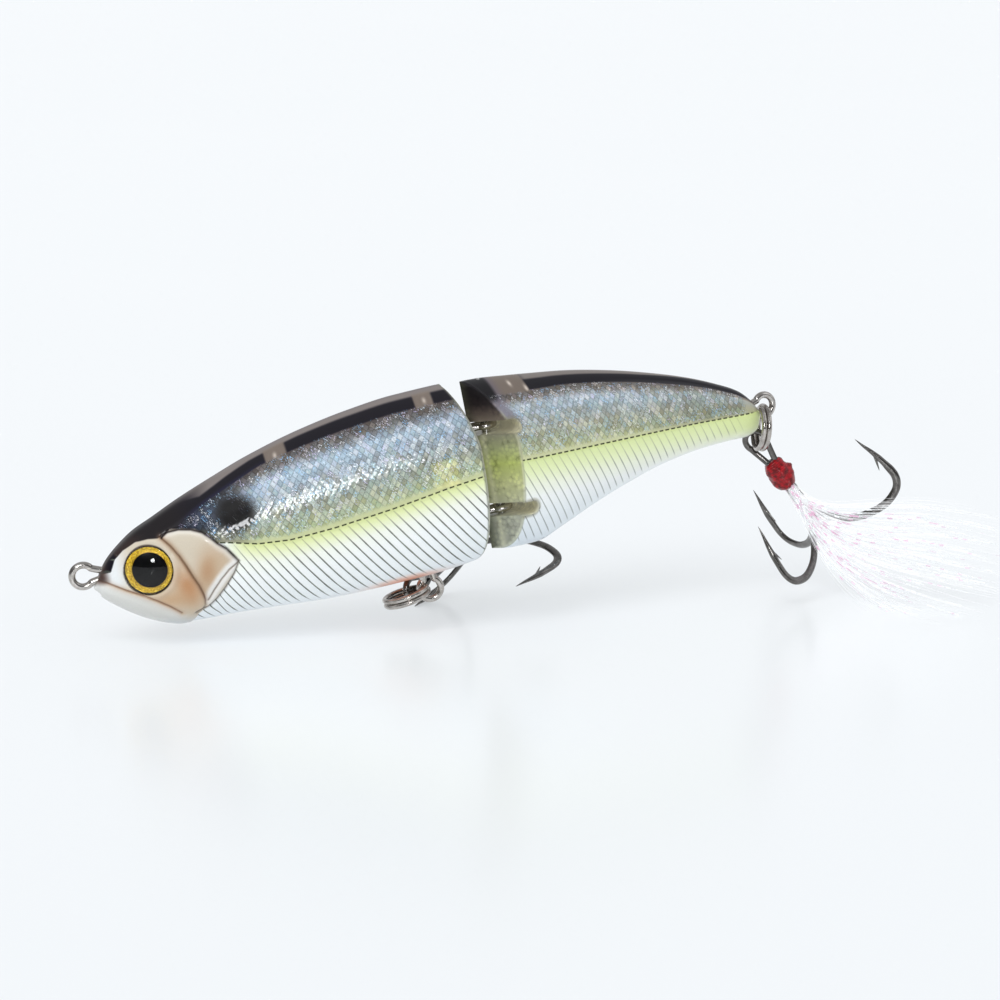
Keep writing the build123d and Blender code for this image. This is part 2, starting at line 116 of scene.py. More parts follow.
# ------------------------------------------------------------------ curves and fields
def hermite(table, x):
    """Every column of a section table after the first, interpolated smoothly at x."""
    knots = table[:, 0]
    x = np.asarray(x, float)
    j = np.clip(np.searchsorted(knots, x, side="right") - 1, 0, len(knots) - 2)
    gap = knots[j + 1] - knots[j]
    t = (x - knots[j]) / gap
    columns = []
    for value in table.T[1:]:
        slope = np.diff(value) / np.diff(knots)
        before, after = slope[:-1], slope[1:]
        total = np.where(before + after == 0, 1, before + after)
        inner = np.where(before * after > 0, 2 * before * after / total, 0)
        grad = np.r_[slope[0], inner, slope[-1]]
        columns.append((2 * t**3 - 3 * t**2 + 1) * value[j] + (t**3 - 2 * t**2 + t) * gap * grad[j]
                       + (-2 * t**3 + 3 * t**2) * value[j + 1] + (t**3 - t**2) * gap * grad[j + 1])
    return columns


def section(table, x, t):
    """Half section at x: t runs from the crest (0) to the keel (pi)."""
    crest, keel, half, wide_z, full_up, full_low = hermite(table, x)
    c, s = np.cos(t), np.sin(t)
    up = c >= 0
    y = half * np.abs(s) ** (2 / np.where(up, full_up, full_low))
    z = wide_z + np.where(up, (crest - wide_z) * np.abs(c) ** (2 / full_up),
                          -(wide_z - keel) * np.abs(c) ** (2 / full_low))
    return y, z


def dense_section(table, x, count=4001):
    t = np.linspace(0, pi, count)
    return (t, *section(table, np.full(count, x), t))


def run_length(path):
    return np.r_[0, np.cumsum(np.linalg.norm(np.diff(path, axis=0), axis=1))]


def tangents(path):
    along = np.gradient(path, axis=0)
    return along / np.linalg.norm(along, axis=1)[:, None]


def even_rows(table, x, count):
    """Values of t that lie evenly round the section at x."""
    t, y, z = dense_section(table, x)
    run = run_length(np.stack([y, z], 1))
    return np.interp(np.linspace(0, run[-1], count), run, t)


def smooth(start, end, value):
    """0 at start and 1 at end, eased at both."""
    q = np.clip((value - start) / (end - start), 0, 1)
    return q * q * (3 - 2 * q)


def bell(*pairs):
    """Gaussian bump; the arguments alternate offset and width."""
    return np.exp(-sum((off / width) ** 2 for off, width in zip(pairs[::2], pairs[1::2])))


def line_dist(x, z, line):
    """Distance to a polyline in the side view."""
    best = np.full(x.shape, 1e9)
    for (ax, az), (bx, bz) in zip(line, line[1:]):
        dx, dz = bx - ax, bz - az
        t = np.clip(((x - ax) * dx + (z - az) * dz) / max(dx * dx + dz * dz, 1e-9), 0, 1)
        best = np.minimum(best, np.hypot(x - ax - t * dx, z - az - t * dz))
    return best


def in_polygon(x, z, corners):
    inside = np.zeros(x.shape, bool)
    for (ax, az), (bx, bz) in zip(corners, corners[1:] + corners[:1]):
        inside ^= ((az > z) != (bz > z)) & (x < (bx - ax) * (z - az) / (bz - az + 1e-12) + ax)
    return inside


def curve(points, count=120):
    """Catmull-Rom curve through the points, evenly resampled."""
    pts = np.array(points, float)
    pts = np.vstack([2 * pts[0] - pts[1], pts, 2 * pts[-1] - pts[-2]])
    t = np.linspace(0, 1, 40, endpoint=False)[:, None]
    parts = []
    for a, b, c, d in zip(pts, pts[1:], pts[2:], pts[3:]):
        parts.append(0.5 * (2 * b + (c - a) * t + (2 * a - 5 * b + 4 * c - d) * t**2
                            + (3 * b - a - 3 * c + d) * t**3))
    path = np.vstack(parts + [pts[-2:-1]])
    run = run_length(path)
    even = np.linspace(0, run[-1], count)
    return np.stack([np.interp(even, run, column) for column in path.T], 1)


# ------------------------------------------------------------------ colours
def linear(rgb):
    """Display values 0..255 as linear light."""
    rgb = np.asarray(rgb, float) / 255
    return np.where(rgb <= 0.04045, rgb / 12.92, ((rgb + 0.055) / 1.055) ** 2.4)


def from_hex(text):
    return tuple(linear([int(text[i:i + 2], 16) for i in (0, 2, 4)])) + (1.0,)


def colour_ramp(value, stops):
    """Stops are rows of position, red, green, blue."""
    place, *channels = np.array(stops, float).T
    return np.stack([np.interp(value, place, channel) for channel in channels], -1)


def blend(col, rgb, amount):
    return col + (np.asarray(rgb, float) - col) * np.clip(amount, 0, 1)[..., None]


# ------------------------------------------------------------------ mesh helpers
lure = bpy.data.collections.new("lure")
scene.collection.children.link(lure)


def add_mesh(name, verts, faces, mat, sharp=None, **attrs):
    """Smooth mesh from millimetres; an attribute's type follows from its width."""
    mesh = bpy.data.meshes.new(name)
    mesh.from_pydata((np.asarray(verts, float) * MM).tolist(), [],
                     [list(map(int, face)) for face in faces])
    mesh.update()
    mesh.polygons.foreach_set("use_smooth", np.ones(len(mesh.polygons), bool))
    if sharp:
        mesh.set_sharp_from_angle(angle=math.radians(sharp))
    for key, values in attrs.items():
        values = np.asarray(values, np.float32)
        width = values.shape[1] if values.ndim > 1 else 1
        kind, field = {1: ("FLOAT", "value"), 3: ("FLOAT_VECTOR", "vector"),
                       4: ("FLOAT_COLOR", "color")}[width]
        mesh.attributes.new(key, kind, "POINT").data.foreach_set(field, values.ravel())
    obj = bpy.data.objects.new(name, mesh)
    lure.objects.link(obj)
    mesh.materials.append(mat)
    return obj


def fit(obj, body, node):
    """Ties a piece to the body it moves with and hides the node it stands for."""
    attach(obj, body)
    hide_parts(node)


def grid_faces(rows, cols, wrap=False):
    i, j = np.meshgrid(np.arange(rows - 1), np.arange(cols if wrap else cols - 1), indexing="ij")
    here, right = i * cols + j, i * cols + (j + 1) % cols
    return np.stack([here, right, right + cols, here + cols], -1).reshape(-1, 4)


def capped_grid(rows, cols):
    """Faces of a closed tube: wrapped grid and two end caps."""
    last = [(rows - 1) * cols + j for j in range(cols)]
    return grid_faces(rows, cols, wrap=True).tolist() + [list(range(cols)), last[::-1]]


class Tubes:
    """Collects several closed tubes into one mesh."""

    def __init__(self):
        self.verts, self.faces, self.runs = [], [], []
        self.count = 0

    def add(self, verts, path, sides):
        self.faces += [[k + self.count for k in face] for face in capped_grid(len(path), sides)]
        self.verts.append(verts)
        self.runs.append(np.repeat(run_length(path), sides))
        self.count += len(verts)

    def tube(self, path, wide, thin=None, normal=None, sides=20, power=2.0):
        """Sweeps a superellipse; thin is its radius along the normal, wide across it."""
        path = np.asarray(path, float)
        count = len(path)
        along = tangents(path)
        wide = np.broadcast_to(wide, (count,)).astype(float)
        thin = wide if thin is None else np.broadcast_to(thin, (count,)).astype(float)
        if normal is not None:
            up = unit(normal) - along * (along @ unit(normal))[:, None]
            up /= np.linalg.norm(up, axis=1)[:, None]
        else:
            up = np.zeros_like(path)
            carried = unit(np.cross(along[0], vec(0.31, 0.52, 0.8)))
            for i in range(count):
                carried = unit(carried - along[i] * (carried @ along[i]))
                up[i] = carried
        across = np.cross(up, along)
        angle = np.linspace(0, 2 * pi, sides, endpoint=False)
        c, s = (np.sign(v) * np.abs(v) ** (2 / power) for v in (np.cos(angle), np.sin(angle)))
        ring = (path[:, None] + across[:, None] * (wide[:, None] * c)[..., None]
                + up[:, None] * (thin[:, None] * s)[..., None])
        self.add(ring.reshape(-1, 3), path, sides)
        return self

    def out(self, name, mat, sharp=50, **attrs):
        """The mesh; attribute "run" is the length along each tube."""
        return add_mesh(name, np.concatenate(self.verts), self.faces, mat, sharp, **attrs,
                        run=np.concatenate(self.runs))


# ------------------------------------------------------------------ node helpers
class Nodes:
    """Short calls for filling a node tree."""

    def __init__(self, tree):
        self.tree = tree

    def put(self, socket, value):
        """Links a socket, or sets it from a number, a vector or a hex colour."""
        if isinstance(value, bpy.types.NodeSocket):
            self.tree.links.new(value, socket)
            return
        if isinstance(value, str):
            value = from_hex(value)
        if socket.type == "RGBA" and len(value) == 3:
            value = tuple(value) + (1.0,)
        socket.default_value = value

    def new(self, kind, inputs=None, **props):
        node = self.tree.nodes.new(kind)
        for key, value in props.items():
            setattr(node, key, value)
        for key, value in (inputs or {}).items():
            self.put(node.inputs[key], value)
        return node

    def calc(self, operation, *values):
        return self.new("ShaderNodeMath", dict(enumerate(values)), operation=operation).outputs[0]

    def mul(self, first, *others):
        for other in others:
            first = self.calc("MULTIPLY", first, other)
        return first

    def add(self, a, b):
        return self.calc("ADD", a, b)

    def sub(self, a, b):
        return self.calc("SUBTRACT", a, b)

    def dot(self, vector, axis):
        return self.new("ShaderNodeVectorMath", {0: vector, 1: tuple(axis)},
                        operation="DOT_PRODUCT").outputs["Value"]

    def smooth(self, value, start, end, low=0.0, high=1.0):
        """low at start and high at end, eased at both."""
        return self.new("ShaderNodeMapRange", dict(enumerate((value, start, end, low, high))),
                        interpolation_type="SMOOTHSTEP").outputs[0]


class Shader(Nodes):
    """Node tree of a material or a world."""

    def __init__(self, owner, output="ShaderNodeOutputMaterial"):
        owner.use_nodes = True
        super().__init__(owner.node_tree)
        self.tree.nodes.clear()
        self.owner = owner
        self.surface = self.tree.nodes.new(output).inputs["Surface"]

    def mix(self, amount, a, b, mode="MIX"):
        return self.new("ShaderNodeMix", {0: amount, 6: a, 7: b}, data_type="RGBA",
                        blend_type=mode).outputs[2]

    def tint(self, amount, col, factor):
        """Multiplies the colour by a factor, by the given amount."""
        return self.mix(amount, col, self.mix(1.0, col, factor, "MULTIPLY"))

    def ramp(self, value, stops, interpolation="LINEAR"):
        """Colour ramp; stops are pairs of position and hex colour."""
        node = self.new("ShaderNodeValToRGB")
        node.color_ramp.interpolation = interpolation
        elements = node.color_ramp.elements
        while len(elements) < len(stops):
            elements.new(0.5)
        for element, (position, text) in zip(elements, stops):
            element.position = position
            element.color = from_hex(text)
        self.put(node.inputs[0], value)
        return node.outputs[0]

    def attr(self, name, output="Fac"):
        return self.new("ShaderNodeAttribute", attribute_name=name).outputs[output]

    def noise(self, vector, scale, detail=2.0, rough=0.5):
        return self.new("ShaderNodeTexNoise", {"Scale": scale, "Detail": detail, "Vector": vector,
                                               "Roughness": rough}).outputs["Fac"]

    def combine(self, x, y, z=0.0):
        return self.new("ShaderNodeCombineXYZ", {0: x, 1: y, 2: z}).outputs[0]

    def random(self, vector):
        """A random value for each vector, and three more as a colour's channels."""
        node = self.new("ShaderNodeTexWhiteNoise", {"Vector": vector})
        split = self.new("ShaderNodeSeparateColor", {0: node.outputs["Color"]})
        return node.outputs["Value"], split.outputs

    def position(self):
        return self.new("ShaderNodeTexCoord").outputs["Object"]

    def backfacing(self):
        return self.new("ShaderNodeNewGeometry").outputs["Backfacing"]

    def bump(self, height, distance, strength=1.0):
        return self.new("ShaderNodeBump", {"Height": height, "Distance": distance,
                                           "Strength": strength}).outputs[0]

    def principled(self, **inputs):
        named = {key.replace("_", " "): value for key, value in inputs.items()}
        return self.new("ShaderNodeBsdfPrincipled", named).outputs[0]

    def finish(self, surface=None, **inputs):
        """Links the surface (by default a principled one) and returns the material."""
        self.put(self.surface, surface or self.principled(**inputs))
        return self.owner


def new_material(name):
    return Shader(bpy.data.materials.new(name))


# ------------------------------------------------------------------ metals
def metal(name, dark, light, rough=0.17, coat=0.0):
    """Plated wire: slight colour drift, streaks along its run and a fine grain."""
    sh = new_material(name)
    place = sh.position()
    drift = sh.noise(place, scale=900.0, detail=3.0)
    grain = sh.noise(place, scale=4200.0)
    stripe = sh.new("ShaderNodeTexNoise", {"Scale": 14.0, "Detail": 3.0, "W": sh.attr("run")},
                    noise_dimensions="1D").outputs["Fac"]
    tone = sh.add(sh.mul(drift, 0.6), sh.mul(stripe, 0.4))
    return sh.finish(
        Base_Color=sh.mix(sh.smooth(tone, 0.35, 0.68), dark, light), Metallic=1.0,
        Roughness=sh.add(sh.mul(grain, 0.16), rough - 0.06), Coat_Weight=coat,
        Coat_Roughness=0.05, Normal=sh.bump(grain, distance=0.00002, strength=0.35))


MAT_NICKEL = metal("wire_nickel", dark=(0.42, 0.39, 0.36), light=(0.66, 0.63, 0.60))
MAT_RING = metal("ring_nickel", dark=(0.36, 0.33, 0.30), light=(0.60, 0.57, 0.54))
MAT_HOOK = metal("hook_nickel", dark=(0.105, 0.098, 0.092), light=(0.20, 0.19, 0.18),
                 rough=0.20, coat=0.25)
MAT_PIN = metal("pin_steel", dark=(0.50, 0.50, 0.49), light=(0.70, 0.69, 0.67), rough=0.24)
MAT_LEAD = metal("ballast", dark=(0.14, 0.14, 0.15), light=(0.26, 0.26, 0.27), rough=0.5)


# ------------------------------------------------------------------ body paint material
RIB_PITCH = 1.6
SCALE_X, SCALE_S = 1.12, 1.5      # foil scale size along the body and round it
DASH_PITCH = 1.27
FOIL_TINTS = [(0.0, "3a4450"), (0.18, "6d7f93"), (0.38, "9fc0de"), (0.55, "eef3f7"),
              (0.70, "b9bfe0"), (0.82, "86b9c9"), (0.92, "a2a08a"), (1.0, "4a5058")]
GLINT_TINTS = [(0.0, "7cc0f8"), (0.35, "bfe2ff"), (0.6, "ffffff"), (1.0, "d2c8fa")]


def lure_paint(name, lean, seed=0.0):
    """Clear-coated paint. Attributes: "paint" colour, "bc" x and arc below the side line, "mask"
    scales, ribs and clear plastic (the clear parts glow faintly, as painted light), "sideline" the
    dashed line."""
    sh = new_material(name)
    paint = sh.attr("paint", "Color")
    x, arc, _ = sh.new("ShaderNodeSeparateXYZ", {0: sh.attr("bc", "Vector")}).outputs
    scales, ribs, clear = sh.new("ShaderNodeSeparateColor", {0: sh.attr("mask", "Color")}).outputs
    side_line = sh.attr("sideline")
    place = sh.position()

    # foil scales: a diamond net with a random tint in each cell
    u, v = sh.calc("DIVIDE", x, SCALE_X), sh.calc("DIVIDE", arc, SCALE_S)
    net_a, net_b = sh.add(sh.add(u, v), seed), sh.sub(u, v)
    cell = sh.combine(sh.calc("FLOOR", net_a), sh.calc("FLOOR", net_b), seed)
    cell_value, cell_rgb = sh.random(cell)
    frac_a, frac_b = sh.calc("FRACT", net_a), sh.calc("FRACT", net_b)
    edge = sh.calc("MINIMUM", sh.calc("MINIMUM", frac_a, sh.sub(1.0, frac_a)),
                   sh.calc("MINIMUM", frac_b, sh.sub(1.0, frac_b)))
    # short dashes inside each scale
    grain = sh.noise(sh.combine(sh.mul(net_a, 2.2), sh.mul(net_b, 5.5)), scale=1.0, rough=0.6)
    tint = sh.ramp(sh.calc("FRACT", sh.add(cell_value, sh.mul(grain, 0.55))), FOIL_TINTS)
    foil = sh.mix(0.46, paint, sh.mix(1.0, paint, tint, "OVERLAY"))
    col = sh.mix(sh.mul(scales, 0.92), paint, foil)
    col = sh.tint(sh.mul(scales, sh.mul(sh.smooth(edge, 0.17, 0.03), 0.50)), col,
                  (0.34, 0.35, 0.38))
    col = sh.tint(sh.mul(sh.smooth(grain, 0.47, 0.38), scales, 0.5), col, (0.42, 0.40, 0.38))
    # bright glints on some scales
    glint = sh.mul(sh.smooth(grain, 0.55, 0.64), sh.smooth(cell_rgb[1], 0.30, 0.62))
    col = sh.mix(sh.mul(glint, scales, 0.92), col, sh.ramp(cell_rgb[2], GLINT_TINTS))

    # ribs below the side line, each broken into lengths of varying width
    phase = sh.calc("DIVIDE", sh.sub(x, sh.mul(arc, lean)), RIB_PITCH)
    rib_value = sh.new("ShaderNodeTexWhiteNoise", {"W": sh.calc("FLOOR", phase)},
                       noise_dimensions="1D").outputs["Value"]
    off_rib = sh.mul(sh.calc("ABSOLUTE", sh.sub(sh.calc("FRACT", phase), 0.5)), 2.0)
    dash = sh.noise(sh.combine(sh.calc("FLOOR", phase), sh.mul(arc, 0.42)), scale=1.0, detail=1.0)
    width = sh.add(0.055, sh.mul(dash, 0.15))
    line = sh.smooth(off_rib, sh.add(width, 0.06), width)
    depth = sh.smooth(arc, 0.0, 4.5, low=0.30, high=0.92)
    col = sh.mix(sh.mul(line, ribs, depth), col,
                 sh.ramp(rib_value, [(0.0, "3f443e"), (1.0, "6b7268")]))

    # dashed side line
    near = sh.smooth(sh.calc("ABSOLUTE", arc), 0.17, 0.09)
    dashes = sh.smooth(sh.calc("FRACT", sh.calc("DIVIDE", x, DASH_PITCH)), 0.70, 0.62)
    col = sh.mix(sh.mul(near, dashes, side_line), col, "343a20")

    # clear plastic: light facets and dark borders between them
    facet = sh.new("ShaderNodeTexVoronoi", {"Scale": 1300.0, "Randomness": 0.9,
                                            "Vector": place}).outputs["Distance"]
    patches = sh.smooth(sh.noise(place, scale=420.0, detail=3.0), 0.35, 0.65)
    amount = sh.mul(clear, sh.mul(patches, 0.55))
    col = sh.tint(sh.mul(amount, sh.smooth(facet, 0.55, 0.25)), col, (1.55, 1.55, 1.35))
    col = sh.tint(sh.mul(amount, sh.smooth(facet, 0.62, 0.80)), col, (0.42, 0.42, 0.40))
    # light speckle everywhere
    speckle = sh.noise(place, scale=5200.0)
    col = sh.tint(sh.smooth(speckle, 0.35, 0.7, high=0.10), col, (0.62, 0.62, 0.62))

    height = sh.add(sh.mul(cell_rgb[0], scales, 1.0), sh.mul(grain, scales, 1.2))
    height = sh.add(height, sh.mul(clear, facet))
    # Clear plastic glows faintly through the emission, the joint faces most: painted light that
    # lifts the shade inside the joint.
    return sh.finish(
        Base_Color=col, Metallic=sh.mul(scales, 0.22), Roughness=sh.sub(0.42, sh.mul(scales, 0.14)),
        Normal=sh.bump(height, distance=0.00006, strength=0.55), Coat_Weight=0.62,
        Coat_Roughness=0.035, Coat_IOR=1.45, Specular_IOR_Level=0.12, Emission_Color=col,
        Emission_Strength=sh.mul(sh.smooth(clear, 0.5, 1.0), 0.26))


# ------------------------------------------------------------------ body outlines
# Joint faces: x of the face on the centre plane and how fast x grows with y.
NOTCH_X, NOTCH_FLARE = 65.2, math.tan(math.radians(24))
RIDGE_X, RIDGE_FLARE = -3.2, math.tan(math.radians(29))
# Slots in the rear body's joint face: z of the middle, x of the closed end.
SLOTS = ((9.7, 2.9), (-4.9, 3.7))
SLOT_R = 1.2

EYE_X, EYE_Z = 10.35, -0.37
EYE_DIR = unit(vec(-0.26, 0.96, 0.03))     # the right eye's axis
EYE_SINK = 0.95
_, _cheek_y, _cheek_z = dense_section(FRONT, EYE_X, 3001)
EYE_SEAT = vec(EYE_X, float(np.interp(-EYE_Z, -_cheek_z, _cheek_y)), EYE_Z) - EYE_DIR * EYE_SINK

# Side-view lines, as (x, z) points.
FRONT_SIDE_LINE = [(20.6, 3.0), (22.0, 2.1), (24.4, 1.6), (29.0, 0.35), (34.4, -0.2),
                   (41.9, 0.1), (52.1, 1.0), (62.5, 2.3), (70.0, 3.0)]
REAR_SIDE_LINE = [(-4.0, 4.2), (2.0, 3.6), (14.0, 2.35), (28.7, 0.8), (38.7, -0.3),
                  (49.9, -1.75), (54.0, -2.2)]
MOUTH = [(1.3, -0.7), (3.25, -1.4), (5.86, -2.97), (8.72, -4.48), (10.71, -5.78),
         (12.67, -7.31), (14.41, -8.79)]
# Front edge of the gill cover, its outer edge, and a line just inside the outer edge.
CHEEK_EDGE = [(13.59, 4.49), (14.84, 2.91), (15.83, 1.16), (16.59, -0.66), (17.3, -2.7),
              (18.05, -4.52), (18.49, -6.26), (18.62, -7.23), (18.54, -8.15), (18.03, -8.97),
              (17.02, -9.42)]
COVER_EDGE = [(13.59, 4.49), (14.85, 5.11), (16.7, 5.25), (18.67, 4.9), (20.34, 4.15),
              (21.48, 3.06), (22.38, 1.92), (23.72, 0.66), (25.26, -1.81), (24.18, -3.66),
              (22.36, -5.79), (20.63, -7.49), (18.99, -8.73), (16.78, -9.48)]
COVER_INNER = [(25.26, -1.81), (23.45, -2.78), (21.77, -4.24), (20.31, -5.76), (19.06, -7.34)]
COVER_AREA = COVER_EDGE + [CHEEK_EDGE[8]] + CHEEK_EDGE[6:0:-1]
HEAD = [(-1, 0.2), (1.67, 0.15), (2.85, -0.14), (4.5, 0.16), (5.57, 1.99), (7.19, 3.23),
        (9.47, 4.31), (11.55, 4.51), (13.11, 4.37), (14.11, 4.83), (15.38, 5.45), (17.18, 5.37),
        (19.35, 4.85), *COVER_EDGE[4:13], (17.2, -9.7), (15.8, -11.2), (15.0, -16), (-1, -16)]

# ------------------------------------------------------------------ body colours
# Flank: share of the height from the side line up to the stripe, then red, green, blue. In the
# front flank the light blue-white band from 0.62 to 0.74 is partly foil colour and partly a painted
# highlight where the flank faces the light.
FRONT_FLANK = [
    (0.0, 204, 210, 158), (0.07, 196, 202, 156), (0.20, 190, 192, 158), (0.36, 176, 178, 162),
    (0.50, 172, 176, 172), (0.62, 184, 192, 196), (0.74, 194, 206, 216), (0.84, 156, 158, 160),
    (0.91, 122, 114, 106), (1.0, 98, 88, 84)]
REAR_FLANK = [
    (0.0, 208, 212, 164), (0.10, 204, 206, 162), (0.24, 194, 194, 160), (0.40, 192, 190, 168),
    (0.54, 186, 188, 178), (0.66, 188, 196, 198), (0.78, 190, 194, 194), (0.88, 142, 132, 120),
    (1.0, 112, 102, 94)]
# Belly: arc length below the side line, then red, green, blue.
FRONT_BELLY = [
    (0.0, 206, 215, 150), (0.8, 226, 235, 176), (2.0, 237, 243, 208), (3.4, 245, 248, 238),
    (6.0, 247, 250, 250), (12.0, 243, 248, 250), (17.0, 232, 239, 245), (21.0, 222, 232, 240)]
REAR_BELLY = [
    (0.0, 208, 220, 150), (0.7, 222, 234, 172), (2.4, 232, 242, 194), (4.6, 243, 248, 228),
    (7.0, 247, 250, 249), (10.0, 241, 247, 250), (16.0, 226, 235, 242)]
# Joint faces: z, then red, green, blue.
FRONT_FACE = [(-13, 150, 154, 148), (4, 150, 152, 138), (10, 128, 124, 112), (15, 96, 90, 84),
              (18, 52, 48, 50)]
REAR_FACE = [
    (-13, 124, 127, 116), (-6.2, 142, 145, 132), (-3.7, 150, 152, 128), (0, 158, 162, 118),
    (3.4, 150, 160, 92), (6, 134, 140, 102), (8.5, 116, 116, 98), (10.9, 96, 88, 78),
    (12.5, 66, 58, 54), (14, 26, 22, 24), (18, 13, 11, 14)]


def flank_base(below, across, upper, low, flank, belly):
    """Flank and belly colours, and the height above the side line as a share of the stripe's."""
    row = np.argmin(np.abs(np.where(upper, across, 9) - low), axis=0)
    height = -below[row, np.arange(below.shape[1])]
    share = -below / np.maximum(height, 0.5)
    col = np.where((below > 0)[..., None], colour_ramp(below, belly), colour_ramp(share, flank))
    return col, share


def head_fields(x, z):
    """Distances to the lines of the head, and the areas they bound."""
    head = SimpleNamespace(
        inside=in_polygon(x, z, HEAD), rim=line_dist(x, z, HEAD), mouth=line_dist(x, z, MOUTH),
        cheek=line_dist(x, z, CHEEK_EDGE), edge=line_dist(x, z, COVER_EDGE),
        inner=line_dist(x, z, COVER_INNER), cover=in_polygon(x, z, COVER_AREA))
    head.mask = smooth(-0.07, 0.07, np.where(head.inside, head.rim, -head.rim))
    head.jaw = smooth(0.1, 0.5, np.interp(x, *np.transpose(MOUTH)) - z) * smooth(16.2, 13.5, x)
    return head


def paint_head(col, x, z, head):
    """Face, gill cover and jaw over the colours of the body."""
    face = np.broadcast_to(vec(208, 198, 180), col.shape)
    face = blend(face, (226, 230, 231), smooth(8.5, 5.0, x) * smooth(-4.0, -1.5, z))
    face = blend(face, (184, 134, 92), 0.95 * bell(x - 16.2 + 0.10 * (z + 4), 2.1, z + 4.4, 3.4))
    face = blend(face, (194, 156, 118), 0.75 * bell(x - 13.2, 3.4, z + 6.0, 1.7))
    cover = np.broadcast_to(vec(204, 194, 176), col.shape)
    cover = blend(cover, (178, 136, 98),
                  0.8 * bell(x - 20.0 - 0.25 * (z + 2), 2.0, z + 2.2, 3.4))
    cover = blend(cover, (194, 168, 138), 0.6 * bell(x - 22.3, 1.8, z + 1.0, 1.6))
    top_edge = line_dist(x, z, COVER_EDGE[:9])
    cover = blend(cover, (236, 233, 228), smooth(1.3, 0.3, top_edge) * 0.6)
    cover = blend(cover, (232, 230, 226), smooth(1.4, 0.5, head.inner))
    face = np.where(head.cover[..., None], cover, face)
    face = blend(face, (214, 216, 214), head.jaw * 0.85)
    face = blend(face, (196, 202, 208), smooth(-9.0, -11.0, z) * 0.6)
    col = col * (1 - head.mask[..., None]) + face * head.mask[..., None]
    # lines: mouth, cheek, gill cover; the dark upper line of the gill cover is a painted shadow
    # under its raised edge
    col = blend(col, (104, 74, 56), 0.9 * bell(head.mouth, 0.17) * smooth(1.6, 3.0, x))
    col = blend(col, (196, 160, 130), 0.35 * bell(head.mouth, 0.6))
    col = blend(col, (62, 42, 30), 0.92 * bell(head.cheek, 0.16) * smooth(-9.6, -6.0, z))
    col = blend(col, (150, 110, 78), 0.5 * bell(head.cheek, 0.55) * smooth(-9.6, -5.0, z))
    high = smooth(-3.0, -0.5, z)
    # painted shadow under the raised upper edge of the gill cover
    col = blend(col, (34, 27, 27), 0.95 * bell(head.edge, 0.20) * high * (x > 13.5))
    col = blend(col, (120, 112, 104), 0.8 * bell(head.edge, 0.15) * (1 - high) * (x > 16))
    col = blend(col, (118, 106, 94), 0.85 * bell(head.inner, 0.14))
    return blend(col, (66, 48, 42), smooth(4.6, 2.8, x) * smooth(-2.2, -0.8, z))


def head_relief(x, head):
    """Grooves along the lines of the head, with the cover and the jaw raised."""
    relief = np.zeros_like(x)
    relief -= 0.26 * bell(head.mouth, 0.24) * smooth(1.8, 3.2, x)
    relief -= 0.24 * bell(head.cheek, 0.22)
    relief -= 0.26 * bell(head.edge, 0.22) * (x > 13.5)
    relief -= 0.14 * bell(head.inner, 0.20)
    relief += 0.20 * smooth(0.0, 0.7, np.where(head.inside, head.edge, 0)) * smooth(12.5, 14.5, x)
    relief += 0.10 * np.where(head.cover, smooth(0, 1.2, head.cheek), 0)
    relief += 0.18 * head.jaw * smooth(0.2, 1.6, head.mouth)
    return relief


